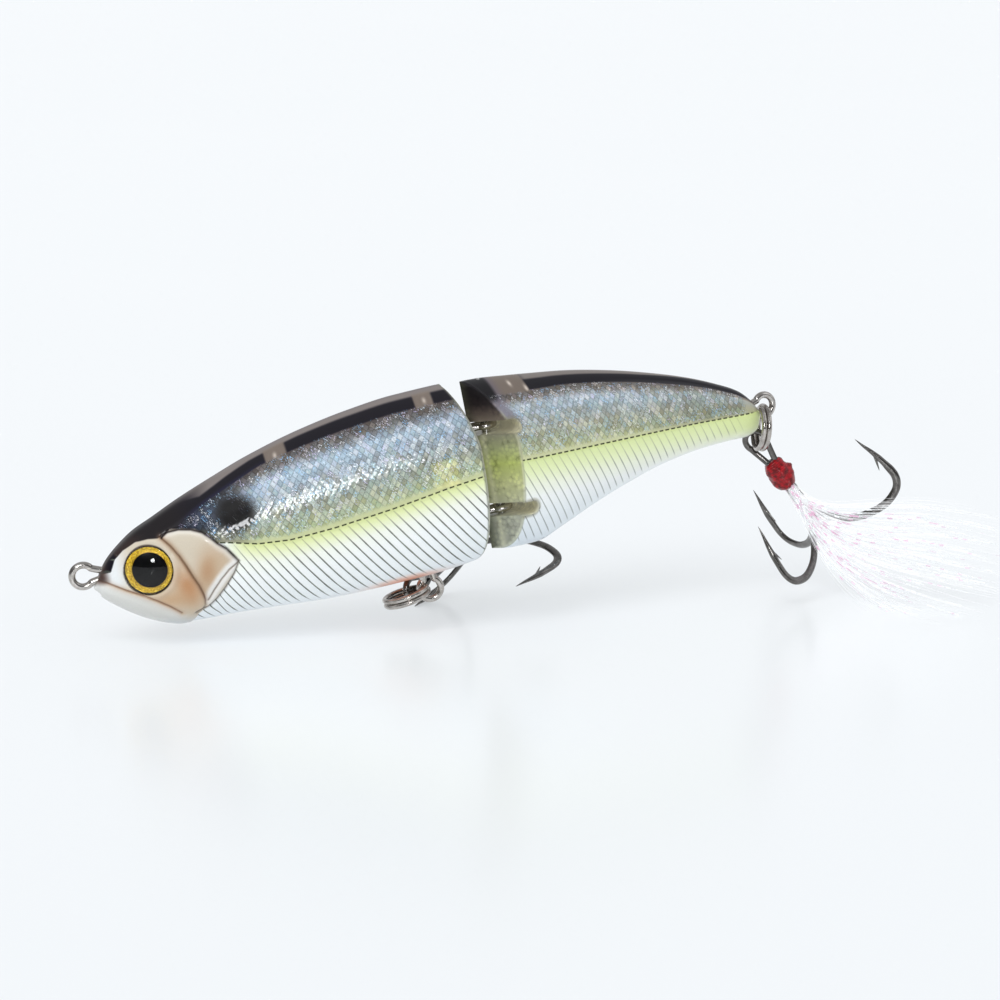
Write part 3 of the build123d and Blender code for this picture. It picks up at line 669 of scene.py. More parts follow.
def paint_front(x, y, z, below, across, upper):
    """Front flank: colour, scale, rib, side-line and clear masks, relief.
    across is y as a share of the half width; upper marks the rows above the widest point."""
    low = np.interp(x, [12, 14, 18, 23, 28, 32, 70], [0.95, 0.8, 0.65, 0.54, 0.48, 0.42, 0.44])
    top = np.interp(x, [14, 18, 21.5, 26.4, 31, 40, 70], [0.0, 0.25, 0.40, 0.29, 0.22, 0.20, 0.22])
    col, share = flank_base(below, across, upper, low, FRONT_FLANK, FRONT_BELLY)
    above, under = below < 0, below > 0
    # chartreuse only behind the shoulder
    col = blend(col, (236, 240, 240), smooth(27.5, 22.5, x) * under * smooth(6, 0, below))
    # dark fore part of the upper flank
    col = blend(col, (38, 44, 60), 0.9 * (smooth(33, 19, x) * smooth(0.02, 0.35, share) * above))
    col = blend(col, (108, 104, 92), smooth(30, 24, x) * smooth(0.5, 0.05, share) * above * 0.7)
    # dark stripe, and the light top strip along the crest: grey-brown clear plastic, partly
    # lightened as a painted reflection of the lights on the glossy top
    stripe = smooth(low + 0.015, low - 0.02, across) * upper
    clear_top_and_sheen = smooth(top + 0.02, top - 0.05, across) * upper * smooth(17, 24, x)
    col = blend(col, (20, 17, 26), stripe)
    col = blend(col, (34, 34, 62),
                stripe * smooth(0.10, 0.0, low - across) * smooth(40, 26, x) * 0.75)
    col = blend(col, (134, 126, 122), clear_top_and_sheen * 0.92)
    col = blend(col, (86, 80, 84), clear_top_and_sheen * smooth(0.09, 0.0, across) * 0.55)
    # clear breaks in the stripe over the posts: x from and to, then x and y of the post
    for start, end, post_x, post_y in ((33.4, 37.2, 35.2, 3.1), (59.9, 63.1, 61.7, 2.9)):
        gap = (smooth(start - 0.15, start + 0.25, x) * smooth(end + 0.3, end - 0.25, x)
               * smooth(0.62, 0.5, across) * smooth(0.12, 0.2, across) * upper)
        col = blend(col, (126, 114, 104), gap * 0.9)
        ring = bell(np.hypot(x - post_x, y - post_y) - 1.15, 0.22) * upper
        col = blend(col, (168, 156, 142), ring * 0.06 * (gap > 0.05))
        # a painted highlight on each post
        col = blend(col, (236, 226, 214), bell(x - post_x, 0.3, y - post_y, 0.5) * upper * 0.6)
    # shoulder spot
    spot = np.hypot((x - 26.4) / 1.15, z - 6.1)
    col = blend(col, (8, 6, 6), 0.98 * smooth(3.9, 1.5, spot) * (z > -2))
    # pale yellow facets near the joint, where the hinge wire shows through
    window = (smooth(59.4, 60.2, x) * smooth(64.8, 64.0, x)
              * smooth(2.0, 2.7, z) * smooth(7.6, 6.8, z))
    col = blend(col, (206, 204, 142), window * 0.62)
    # orange blush on the belly
    col = blend(col, (244, 150, 112), 0.9 * bell(x - 53, 5.5) * smooth(-11.3, -13.1, z))
    # rim of clear plastic
    to_rim = NOTCH_X + y * NOTCH_FLARE - x
    col = blend(col, (120, 122, 108), smooth(0.75, 0.1, to_rim) * 0.75)
    # dark nape round the head
    head = head_fields(x, z)
    nape = smooth(20.5, 15.2, x) * (~head.inside) * (below < 1.2)
    col = blend(col, (26, 21, 24), nape * 0.96 * smooth(-4, -2, z))
    col = blend(col, (84, 66, 58), nape * smooth(1.7, 0.2, head.rim) * 0.45 * smooth(12, 8, x))
    col = blend(col, (96, 86, 82), (smooth(0.30, 0.05, across) * upper * smooth(11, 20, x)
                                    * smooth(27, 21, x) * 0.6))
    col = paint_head(col, x, z, head)

    body = 1 - head.mask
    off_rim = smooth(0.0, 0.3, to_rim)
    scales = (smooth(0.03, 0.10, share) * smooth(1.02, 0.97, share) * above
              * smooth(14.0, 16.5, x) * body * off_rim * (1 - 0.95 * smooth(3.9, 1.7, spot)))
    ribs = (smooth(0.15, 0.5, below) * smooth(21.0, 19.3, below) * body * off_rim
            * smooth(-13.2, -12.2, z) * smooth(0.30, 0.55, across))
    side_line = smooth(21.0, 22.5, x) * body * smooth(0.1, 0.4, to_rim)
    # the window glows faintly through the emission: painted light
    clear = np.maximum(window * 0.8, smooth(0.8, 0.2, to_rim) * 0.4)
    return col, scales, ribs, side_line, clear, head_relief(x, head)


def paint_rear(x, y, z, below, across, upper):
    """Rear flank: takes and returns the same as paint_front."""
    knots = [-4, 6, 14, 30, 46, 53]
    low = np.interp(x, knots, [0.50, 0.50, 0.47, 0.52, 0.62, 0.7])
    top = np.interp(x, knots, [0.26, 0.26, 0.24, 0.26, 0.2, 0.1])
    col, share = flank_base(below, across, upper, low, REAR_FLANK, REAR_BELLY)
    above, under = below < 0, below > 0
    col = blend(col, (150, 146, 120), smooth(22, 42, x) * above * 0.45 * smooth(1.0, 0.7, share))
    col = blend(col, (212, 226, 150), smooth(40, 50, x) * smooth(4.5, 2.0, below) * under * 0.45)
    # dark stripe, light top strip (grey-brown clear plastic, partly lightened as a painted
    # reflection on the glossy top) and the clear break near the joint
    col = blend(col, (20, 17, 25), smooth(low + 0.015, low - 0.02, across) * upper)
    clear_top_and_sheen = (smooth(top + 0.02, top - 0.05, across) * upper
             * smooth(6.5, 8.5, x) * smooth(50, 44, x))
    col = blend(col, (132, 124, 118), clear_top_and_sheen * 0.9)
    gap = smooth(0.2, 1.6, x) * smooth(7.9, 7.4, x) * smooth(0.66, 0.55, across) * upper
    col = blend(col, (122, 110, 100), gap * 0.92)
    col = blend(col, (96, 90, 104), gap * smooth(3.2, 0.8, x) * 0.7)
    # painted highlights on the two posts in the clear break
    for highlight_x, highlight_y in ((4.8, 2.3), (7.3, 3.4)):
        col = blend(col, (228, 216, 204), bell(x - highlight_x, 0.3, y - highlight_y, 0.55) * upper * 0.85)
    # violet-grey clear band beside the rim, high on the flank
    from_rim = x - (RIDGE_X + y * RIDGE_FLARE)
    band = smooth(3.6, 1.2, from_rim) * smooth(8.4, 9.6, z) * smooth(15.6, 13.8, z)
    col = blend(col, (112, 106, 118), band * 0.8)
    col = blend(col, (18, 16, 20), smooth(13.6, 15.0, z) * smooth(1.6, 0.6, x) * 0.95)
    col = blend(col, (150, 152, 128), smooth(0.7, 0.1, from_rim) * 0.7 * smooth(13, 11, z))
    # smoky plastic round the slots
    for slot_z, end in SLOTS:
        away = np.hypot(np.maximum(x - end + SLOT_R, 0), z - slot_z)
        col = blend(col, (132, 130, 108), smooth(1.9, 1.25, away) * 0.6)

    scales = (smooth(0.03, 0.10, share) * smooth(1.02, 0.97, share) * above
              * smooth(0.3, 0.9, from_rim) * smooth(50.5, 48.5, x) * (1 - 0.85 * band))
    keel = np.interp(x, REAR[:, 0], REAR[:, 2])
    ribs = (smooth(0.15, 0.5, below) * smooth(0.1, 0.5, from_rim) * smooth(0.30, 0.55, across)
            * smooth(50.0, 46.0, x) * smooth(0.9, 2.2, z - keel) * 0.6)
    side_line = smooth(0.2, 0.6, from_rim) * smooth(52, 50.5, x)
    return col, scales, ribs, side_line, smooth(0.8, 0.2, from_rim) * 0.4, 0.0


def front_face_colour(y, z):
    # darker along the centre line, in the corner of the notch: painted shade
    return blend(colour_ramp(z, FRONT_FACE), (60, 62, 56), 0.5 * bell(y, 0.9))


def rear_face_colour(y, z):
    # darker along the ridge, which sits deep in the front body's notch: painted shade
    col = blend(colour_ramp(z, REAR_FACE), (62, 64, 50), 0.6 * bell(y, 1.0))
    # a pale line 2.2 from the ridge, low on the face: painted highlight along the face
    return blend(col, (206, 206, 176), 0.45 * bell(y - 2.2, 0.5) * smooth(12, 8, z))


# ------------------------------------------------------------------ body shells
COLUMN_STEP = 0.17
NEAR_COLUMNS = 36         # columns that gather towards the joint rim
BEVEL_STEPS, FACE_STEPS = 5, 26
TIP_RINGS = ((0.82, 0.16), (0.5, 0.30), (0.02, 0.36))     # size, and how far beyond the end


def slotted_rows(t):
    """Adds rows that follow the slots; also the x of the slot edge, nan on other rows."""
    dense, _, dense_z = dense_section(REAR, 1.5)
    slot_x = np.full(len(t), np.nan)
    for slot_z, end in SLOTS:
        first, last = np.interp([-(slot_z + SLOT_R), -(slot_z - SLOT_R)], -dense_z, dense)
        keep = (t < first - 0.004) | (t > last + 0.004)
        rise = SLOT_R * np.cos(np.linspace(0, pi, 17))
        inner = np.interp(-(slot_z + rise), -dense_z, dense)
        edge = end - SLOT_R + np.sqrt(np.maximum(SLOT_R**2 - rise**2, 0))
        at = np.searchsorted(t[keep], first)
        t = np.insert(t[keep], at, np.r_[first, inner, last])
        slot_x = np.insert(slot_x[keep], at, np.r_[np.nan, edge, np.nan])
    return t, slot_x


def arc_below(x_cols, y, z, side_line):
    """Arc length below the side line; rows run from crest to keel."""
    step = np.hypot(np.diff(y, axis=0), np.diff(z, axis=0))
    run = np.vstack([np.zeros(z.shape[1]), np.cumsum(step, axis=0)])
    line_z = np.interp(x_cols, *np.transpose(side_line))
    for j, level in enumerate(line_z):
        run[:, j] -= np.interp(-level, -z[:, j], run[:, j])
    return run


def to_whole(value):
    """Distance to the nearest whole number."""
    frac = value - np.floor(value)
    return np.minimum(frac, 1 - frac)


def displaced(points, amount):
    """Moves the grid outwards, keeping its first and last rows on the centre plane."""
    normal = np.cross(np.gradient(points, axis=0), np.gradient(points, axis=1))
    normal /= np.maximum(np.linalg.norm(normal, axis=-1), 1e-9)[..., None]
    rows, cols = points.shape[:2]
    if normal[rows // 2, cols // 2, 1] < 0:
        normal = -normal
    fade = np.ones(cols)
    fade[-4:] = 0
    fade[:2] = 0
    points = points + normal * (amount * fade)[..., None]
    points[[0, -1], :, 1] = 0
    return points


def sink_eye(points, y, col):
    """Flat eye seat with a crisp wall and a low swollen rim."""
    offset = points - EYE_SEAT
    height = offset @ EYE_DIR
    radius = np.linalg.norm(offset - height[..., None] * EYE_DIR, axis=-1)
    near = (np.abs(height) < 4.5) & (y > 1.0)
    points = points + EYE_DIR * np.where(near, 0.16 * bell(radius - 4.75, 0.5), 0)[..., None]
    sink = np.where(near, smooth(4.22, 4.10, radius), 0) * (height + 0.02)
    col = blend(col, (40, 30, 22), np.where(near, smooth(4.30, 4.12, radius), 0) * 0.85)
    return points - EYE_DIR * sink[..., None], col


def joint_columns(part, points, x, in_slot):
    """Rounds the rim of the grid (in place) and returns the columns of bevel and joint face,
    from the centre plane outwards."""
    rim = points[:, 0].copy()
    wide_z = np.interp(x[:, 0], part.table[:, 0], part.table[:, 4])
    toward = np.where(rim[:, 2] > wide_z, -1, 1) * 0.35 * np.abs(rim[:, 2] - wide_z)
    inward = np.stack([np.zeros(len(rim)), -rim[:, 1], toward], 1)
    inward /= np.maximum(np.linalg.norm(inward, axis=1), 1e-6)[:, None]
    round_r = np.minimum(0.38, rim[:, 1] * 0.5)
    setback = part.away * round_r * 0.9
    for k in range(4):
        points[:, k, 0] += setback * (1 - k / 4) ** 2
    columns = []
    for k in range(BEVEL_STEPS):
        angle = pi / 2 * (k + 1) / BEVEL_STEPS
        column = points[:, 0] + inward * (round_r * (1 - np.cos(angle)))[:, None]
        column[:, 0] -= setback * np.sin(angle)
        columns.append(column)
    inner = columns[-1].copy()
    miss = inner[:, 0] - (part.apex + inner[:, 1] * part.flare)
    for k in range(1, FACE_STEPS + 1):
        share = 1 - k / FACE_STEPS
        column = inner.copy()
        column[:, 1] = inner[:, 1] * share
        plane_x = part.apex + column[:, 1] * part.flare + miss * share
        column[:, 0] = np.where(in_slot, inner[:, 0], plane_x)
        columns.append(column)
    return np.stack(columns[::-1], 1)


def tip_columns(part, last):
    """Closes the end away from the joint."""
    centre = vec(last[:, 0].mean(), 0, (last[:, 2].max() + last[:, 2].min()) / 2)
    rings = []
    for size, beyond in TIP_RINGS:
        ring = centre + (last - centre) * size
        ring[:, 0] = last[:, 0] + part.away * beyond
        rings.append(ring)
    return np.stack(rings, 1)


def shell(part, side_name, side):
    """One moulded half: flank, rounded rim, joint face and a closed parting face."""
    table = part.table
    t = even_rows(table, part.rows_x, part.rows)
    slot_x = np.full(len(t), np.nan)
    if part.rear:
        t, slot_x = slotted_rows(t)
    in_slot = ~np.isnan(slot_x)
    rows = len(t)

    # the rim is where the flank meets the joint plane, or the slot edge
    rim_x = np.full(rows, part.rim_guess)
    for _ in range(12):
        rim_x = part.apex + section(table, rim_x, t)[0] * part.flare
    rim_x = np.where(in_slot, slot_x, rim_x)

    # columns run from the joint rim to the far end
    end_x = table[-1 if part.rear else 0, 0]
    count = int(abs(end_x - part.near_x) / COLUMN_STEP)
    far = np.linspace(*sorted((end_x, part.near_x)), count)[::int(part.away)]
    to_near = np.linspace(0, 1, NEAR_COLUMNS)[:-1]
    near = rim_x[:, None] + (part.near_x - rim_x)[:, None] * to_near
    x = np.hstack([near, np.tile(far, (rows, 1))])
    y, z = section(table, x, t[:, None])
    across = y / np.maximum(np.interp(x, table[:, 0], table[:, 3]), 0.1)
    below = arc_below(np.median(x, axis=0), y, z, part.side_line)
    col, scales, ribs, side_line, clear, relief = part.paint(
        x, y, z, below, across, t[:, None] < pi / 2)

    # relief: ribs, raised scales, side-line groove, hair groove at the parting line
    phase = (x - below * part.lean) / RIB_PITCH
    relief = relief - 0.055 * ribs * smooth(0.30, 0.05, (0.5 - to_whole(phase)) * 2)
    net = np.minimum(to_whole(x / 1.3 + below / 1.55), to_whole(x / 1.3 - below / 1.55))
    relief = relief + 0.035 * scales * smooth(0.0, 0.30, net)
    relief = relief - 0.07 * side_line * bell(below, 0.16)
    relief = relief - 0.09 * bell(y, 0.13)
    points = displaced(np.stack([x, y, z], -1), relief)
    if not part.rear:
        points, col = sink_eye(points, y, col)

    joint = joint_columns(part, points, x, in_slot)
    joint_col = part.face_colour(joint[..., 1], joint[..., 2])
    # the slot walls are lightened to stand in for light inside the slots: painted light; they also
    # glow with the joint faces
    joint_col[in_slot] = blend(joint_col[in_slot], (178, 174, 150), 0.85)
    weight = (np.arange(1, BEVEL_STEPS + 1) / (BEVEL_STEPS + 1))[:, None]
    joint_col[:, -BEVEL_STEPS:] = (joint_col[:, -BEVEL_STEPS:] * (1 - weight)
                                   + col[:, :1] * weight)
    tips = tip_columns(part, points[:, -1])
    grid = np.concatenate([joint, points, tips], 1)
    cols = grid.shape[1]

    def extend(values, at_joint=0.0, at_tip=0.0):
        """Carries a flank field over the joint and tip columns."""
        return np.concatenate([np.full(joint.shape[:2], at_joint), values,
                               np.broadcast_to(at_tip, tips.shape[:2])], 1).ravel()

    rgb = np.concatenate([joint_col, col, np.repeat(col[:, -1:], len(TIP_RINGS), 1)], 1)
    rgb = linear(np.clip(rgb.reshape(-1, 3), 0, 255))
    ones = np.ones(rows * cols)
    # The joint columns count as fully clear, so the joint faces and slot walls glow: painted light.
    mask = np.stack([extend(scales), extend(ribs), extend(clear, at_joint=1.0), ones], 1)
    coords = np.stack([extend(field, at_tip=field[:, -1:]) for field in (x, below, y)], 1)

    verts = grid.reshape(-1, 3).copy()
    verts[:, 1] *= side
    if part.rear:
        verts = rear_point(verts[:, :1], verts[:, 1:2], verts[:, 2:])
    outward = (REAR_Y if part.rear else Y_AXIS) * side
    faces = grid_faces(rows, cols)
    a, b, c = verts[faces[(rows // 2) * (cols - 1) + cols // 2][:3]]
    if np.cross(b - a, c - a) @ outward < 0:
        faces = faces[:, ::-1]
    # one face over the whole border closes the half on the centre plane
    index = np.arange(rows * cols).reshape(rows, cols)
    border = np.r_[index[0], index[1:, -1], index[-1, -2::-1], index[-2:0:-1, 0]]
    edge = verts[border]
    if np.cross(edge, np.roll(edge, -1, 0)).sum(0) @ outward > 0:
        border = border[::-1]
    obj = add_mesh(f"{part.name}_half_{side_name}", verts, faces.tolist() + [border.tolist()],
                   part.mat, 42, paint=np.column_stack([rgb, ones]), mask=mask, bc=coords,
                   sideline=extend(side_line))
    fit(obj, part.name + "_body", f"{part.name}_shell_{side_name}")


# away: direction in x from the joint to the far end. near_x: where the gathering columns begin.
# lean: how far the ribs slant along x for each unit of arc. rim_guess: start of the rim search.
FRONT_LEAN, REAR_LEAN = 0.60, 0.48
FRONT_PART = SimpleNamespace(
    name="front", rear=False, table=FRONT, apex=NOTCH_X, flare=NOTCH_FLARE, away=-1.0,
    rows=236, rows_x=42.0, near_x=62.5, rim_guess=66.0, side_line=FRONT_SIDE_LINE,
    lean=FRONT_LEAN, paint=paint_front, face_colour=front_face_colour,
    slot="{}_shell_paint", mat=lure_paint("paint_front", FRONT_LEAN))
REAR_PART = SimpleNamespace(
    name="rear", rear=True, table=REAR, apex=RIDGE_X, flare=RIDGE_FLARE, away=1.0,
    rows=200, rows_x=14.0, near_x=4.8, rim_guess=0.0, side_line=REAR_SIDE_LINE,
    lean=REAR_LEAN, paint=paint_rear, face_colour=rear_face_colour,
    slot="rear_{}_paint", mat=lure_paint("paint_rear", REAR_LEAN, seed=0.37))
for part in (FRONT_PART, REAR_PART):
    shell(part, "left", -1)
    shell(part, "right", 1)


# ------------------------------------------------------------------ wires and pin
def wire_loop(name, node, body, centre, inner, normal,
              radius=LOOP_R, spread=0.66, opening=38):
    """One wire bent into a loop at centre, with both legs side by side to inner.
    spread is half the gap between the legs, opening half the loop's open angle in degrees."""
    centre, inner = vec(*centre), vec(*inner)
    leg = unit(inner - centre)
    across = unit(np.cross(normal, leg))
    length = float(np.linalg.norm(inner - centre))
    stations = ((length, 1), (length * 0.6, 1), (radius * 1.75, 1.12))
    start = math.radians(opening)
    path = [centre + leg * far + across * spread * wide for far, wide in stations]
    path += [centre + radius * (math.cos(a) * leg + math.sin(a) * across)
             for a in np.linspace(start, 2 * pi - start, 40)]
    path += [centre + leg * far - across * spread * wide for far, wide in stations[::-1]]
    fit(Tubes().tube(curve(path, 200), WIRE_R, sides=22).out(name, MAT_NICKEL), body, node)


BELLY_X, BELLY_LOOP_Z = 56.9, -15.9
BELLY_LOOP = vec(BELLY_X, 0, BELLY_LOOP_Z)
TAIL_LOOP = rear_point(54.83, 0, -1.69)
wire_loop("line_tie_ring", "line_tie_wire", "front_body", (0, 0, 0), (8.0, 0, -1.1), Y_AXIS,
          spread=0.62, opening=40)
wire_loop("belly_hanger_ring", "belly_hanger_wire", "front_body", BELLY_LOOP,
          (BELLY_X, 0, -8.5), Y_AXIS, spread=0.7, opening=32)
wire_loop("tail_eye_ring", "tail_eye_wire", "rear_body", TAIL_LOOP,
          rear_point(46.0, 0, -1.4), REAR_Y, spread=0.64)
for level, (hinge_z, _) in zip(("upper", "lower"), SLOTS):
    wire_loop("hinge_eye_" + level, level + "_hinge_eye", "front_body", (PIN_X, 0, hinge_z),
              (PIN_X - 10, 0, hinge_z), Z_AXIS, radius=HINGE_LOOP_R, opening=36)

# Hinge pin with eased ends.
PIN_Z = [-9.6, -9.5, -9.3, 17.45, 17.62, 17.75]
PIN_RADII = [0.45, 0.66, 0.75, 0.75, 0.68, 0.42]
pin_z = np.interp(np.linspace(0, 5, 60), range(6), PIN_Z)
pin_path = np.stack([np.full(60, PIN_X), np.zeros(60), pin_z], 1)
pin = Tubes().tube(pin_path, np.interp(pin_z, PIN_Z, PIN_RADII), sides=28)
fit(pin.out("hinge_pin_rod", MAT_PIN), "rear_body", "hinge_pin")

for node in ("front_ballast", "rear_ballast"):
    materials = frame["nodes"][node].data.materials
    materials.clear()
    materials.append(MAT_LEAD)


# ------------------------------------------------------------------ split rings
def split_ring(name, node, body, centre, normal, toward):
    """Ring of almost two turns: the wire steps across from one turn to the other."""
    wire, pitch, turns = 0.44, 0.92, 1.9
    normal = unit(normal)
    x = -unit(toward - normal * (toward @ normal))
    y = np.cross(normal, x)
    t = np.linspace(0, turns, 360)
    angle = 2 * pi * t + math.radians(-turns * 180 + 180)
    step = pitch * t - pitch * turns / 2
    path = (centre + RING_R * (np.cos(angle)[:, None] * x + np.sin(angle)[:, None] * y)
            + step[:, None] * normal)
    radius = wire * (0.72 + 0.28 * smooth(0.0, 0.012, np.minimum(t, turns - t)))
    ring = Tubes().tube(path, radius, sides=22, power=2.3)
    fit(ring.out(name, MAT_RING), body, node)


# Belly ring hangs down and a little forward; its hook links at an angle round it.
hang_angle = math.radians(6.2)
belly_hang = vec(-math.cos(hang_angle), 0, -math.sin(hang_angle))
belly_ring = BELLY_LOOP + belly_hang * (0.40 + RING_R)
split_ring("belly_ring_coil", "belly_split_ring", "belly_ring", belly_ring,
           np.cross(belly_hang, Y_AXIS), -belly_hang)
link = math.radians(59)
belly_link = belly_ring + (-belly_hang * math.cos(link) + Y_AXIS * math.sin(link)) * RING_R
belly_tangent = belly_hang * math.sin(link) + Y_AXIS * math.cos(link)
azimuth, rise = math.radians(40.0), math.radians(11.0)
BELLY_SHANK = vec(math.cos(azimuth) * math.cos(rise), math.sin(azimuth) * math.cos(rise),
                  math.sin(rise))
BELLY_EYE = belly_link - BELLY_SHANK * 0.22

# Tail ring hangs from the tail eye, tilted and yawed in the rear body's frame.
tilt, yaw = math.radians(18), math.radians(15)
tail_hang = -REAR_X * math.sin(tilt) - Z_AXIS * math.cos(tilt)
tail_aft = REAR_X * math.cos(tilt) - Z_AXIS * math.sin(tilt)
tail_across = unit(REAR_Y * math.cos(yaw) + tail_aft * math.sin(yaw))
tail_ring = TAIL_LOOP + tail_hang * (0.15 + RING_R)
split_ring("tail_ring_coil", "tail_split_ring", "tail_ring", tail_ring,
           np.cross(tail_hang, tail_across), -tail_hang)
link = math.radians(42.0)
tail_link = tail_ring + (tail_across * math.cos(link) + tail_hang * math.sin(link)) * RING_R
tail_tangent = tail_hang * math.cos(link) - tail_across * math.sin(link)
TAIL_SHANK = unit(vec(0.4255, -0.088, -0.901))
TAIL_EYE = tail_link + TAIL_SHANK * 0.19

# ------------------------------------------------------------------ treble hooks
# Hook outline: distance along the shank from the eye, distance out from the shank.
HOOK = [(5.6, .66), (8, .66), (11, .66), (14, .68), (15.6, .80), (17.6, 1.40), (19.4, 3.05),
        (21.3, 5.35), (22.5, 8), (22.95, 11), (22.6, 13.3), (21.5, 15.35), (19.6, 16.3),
        (16.8, 16.1), (14, 15.5)]
HOOK_TIP = (10.0, 14.35)
SINGLE_START = (4.4, .60)
# The turn of a hook about its shank is measured from the normal to this axis.
CLOCK_AXIS = vec(-0.1648, -0.9598, 0.2271)


def hook_arm(tubes, eye, shank, out, start=HOOK[0]):
    """Shank, forged bend, throat, barb and needle point of one hook."""
    near_tip = (HOOK[-1][0] * 0.45 + HOOK_TIP[0] * 0.55,
                HOOK[-1][1] * 0.45 + HOOK_TIP[1] * 0.55 - 0.05)
    flat = curve([start] + HOOK[1:] + [near_tip, HOOK_TIP], 230)
    run = run_length(flat)
    to_go = run[-1] - run
    normal = np.cross(shank, out)
    path = eye + flat[:, :1] * shank + flat[:, 1:] * out
    forged = smooth(9.5, 13.5, run) * smooth(6.2, 8.6, to_go)
    point = np.clip(to_go / 5.6, 0, 1) ** 0.85
    wide = (HOOK_WIRE_R + 0.17 * forged) * (0.04 + 0.96 * point)
    thin = (HOOK_WIRE_R - 0.09 * forged) * (0.05 + 0.95 * point)
    tubes.tube(path, wide, thin, normal=normal)

    # barb: a sliver cut from the inside of the point and lifted, with a thicker root
    front = path[int(np.argmin(np.abs(to_go - 5.0)))]
    back = path[int(np.argmin(np.abs(to_go - 7.4)))]
    along = unit(front - back)
    side = unit(np.cross(normal, along))
    if side @ (eye + shank * 14 + out * 8 - front) < 0:
        side = -side
    base = front + side * 0.30
    tip = back + side * 1.57 + along * 0.15
    root = back + side * 0.30
    q = np.linspace(0, 1, 12)
    tubes.tube(base + (tip - base) * q[:, None], 0.26 * (1 - q) ** 0.7 + 0.02,
               0.20 * (1 - q) ** 0.6 + 0.015, normal=normal, sides=10)
    tubes.tube(base + (root - base) * np.linspace(0, 0.55, 8)[:, None],
               0.34 * np.linspace(1, 0.3, 8), 0.24, normal=normal, sides=10)


def treble(end, eye, shank, clock, eye_normal):
    """Three hooks: two from one wire that forms the eye, and a single brazed between them."""
    shank = unit(shank)
    zero = unit(np.cross(shank, CLOCK_AXIS))
    turn = math.radians(clock)
    first = zero * math.cos(turn) + np.cross(zero, shank) * math.sin(turn)
    first = unit(first - shank * (first @ shank))
    second = np.cross(shank, first)
    outs = [first * math.cos(a) + second * math.sin(a) for a in (0, 2 * pi / 3, -2 * pi / 3)]
    eye_normal = unit(eye_normal - shank * (eye_normal @ shank))
    across = np.cross(eye_normal, shank)
    double = Tubes()
    hook_arm(double, eye, shank, outs[0])
    hook_arm(double, eye, shank, outs[1])
    if outs[0] @ across < outs[1] @ across:
        across = -across

    eye_r, leg_r, opening = 1.95, 0.66, math.radians(62)

    def leg(out, sign):
        """From the shank up to the neck of the eye."""
        return [eye + shank * 7.5 + out * leg_r, eye + shank * 5.6 + out * leg_r,
                eye + shank * 4.0 + (out * 0.35 + across * 0.62 * sign)]

    path = leg(outs[0], 1)
    path += [eye + eye_r * (math.cos(a) * shank + math.sin(a) * across)
             for a in np.linspace(opening, 2 * pi - opening, 44)]
    path += leg(outs[1], -1)[::-1]
    double.tube(curve(path, 220), HOOK_WIRE_R)
    # brazing that fills the gap between the three shanks
    along = np.linspace(5.2, 15.4, 40)
    taper = np.minimum((along - 5.0) / 1.2, (15.6 - along) / 1.2) + 0.15
    double.tube(eye + along[:, None] * shank, 0.62 * np.minimum(1, taper), sides=16)
    double_obj = double.out(end + "_treble_double", MAT_HOOK)
    single = Tubes()
    hook_arm(single, eye, shank, outs[2], SINGLE_START)
    single_obj = single.out(end + "_treble_single", MAT_HOOK)
    body = end + "_hook"
    fit(double_obj, body, body + "_double")
    fit(single_obj, body, body + "_single")


treble("belly", BELLY_EYE, BELLY_SHANK, clock=40.0, eye_normal=belly_tangent)
treble("tail", TAIL_EYE, TAIL_SHANK, clock=169.4, eye_normal=tail_tangent)


# ------------------------------------------------------------------ lure eyes
PUPIL_R = 3.0
DOME_R, DOME_RISE, DOME_BASE = 4.1, 1.35, 0.75
EYE_SEGMENTS = 160


def foil_material():
    """Gold foil with a black pupil; "eyeuv" holds radius and angle."""
    sh = new_material("eye_foil_gold")
    radius, angle, _ = sh.new("ShaderNodeSeparateXYZ", {0: sh.attr("eyeuv", "Vector")}).outputs
    crinkle = sh.noise(sh.combine(sh.mul(radius, 1.1), sh.mul(angle, 1.6)),
                       scale=5.0, detail=4.0, rough=0.65)
    gold = sh.ramp(crinkle, [(0.25, "5c4200"), (0.42, "b88a04"), (0.56, "e8c414"),
                             (0.72, "fff07a")])
    gold = sh.mix(sh.smooth(radius, 3.40, 3.0, high=0.35), gold, "8a5a08")
    pupil = sh.smooth(radius, 3.02, 2.94)
    rim = sh.smooth(radius, 3.86, 3.95)
    col = sh.mix(rim, sh.mix(pupil, gold, "050507"), "1a120c")
    shiny = sh.mul(sh.sub(1.0, pupil), sh.sub(1.0, rim))
    return sh.finish(Base_Color=col, Metallic=sh.mul(shiny, 0.35), Roughness=0.28,
                     Specular_IOR_Level=sh.mul(shiny, 0.5),
                     Normal=sh.bump(crinkle, distance=0.00008, strength=0.6))


def resin_material():
    """Clear dome that barely refracts, with a glossy coat on its outer side."""
    sh = new_material("eye_resin")
    back = sh.backfacing()
    ripple = sh.noise(sh.position(), scale=300.0)
    return sh.finish(Base_Color=(1, 1, 1), Roughness=sh.mul(ripple, 0.03),
                     Transmission_Weight=1.0, IOR=1.02, Coat_Weight=sh.sub(1.0, back),
                     Coat_IOR=1.42, Coat_Roughness=0.02,
                     Normal=sh.bump(ripple, distance=0.00001, strength=0.1))


MAT_FOIL = foil_material()
MAT_RESIN = resin_material()


def turned(rings, axis, row):
    """Vertices and capped faces of a turned piece; the given row faces along the axis."""
    verts = np.concatenate(rings)
    faces = grid_faces(len(rings), EYE_SEGMENTS, wrap=True)
    first = list(range(EYE_SEGMENTS))
    last = [(len(rings) - 1) * EYE_SEGMENTS + k for k in first]
    a, b, c = verts[faces[row * EYE_SEGMENTS][:3]]
    if np.cross(b - a, c - a) @ axis > 0:
        return verts, faces.tolist() + [first[::-1], last]
    return verts, faces[:, ::-1].tolist() + [first, last[::-1]]


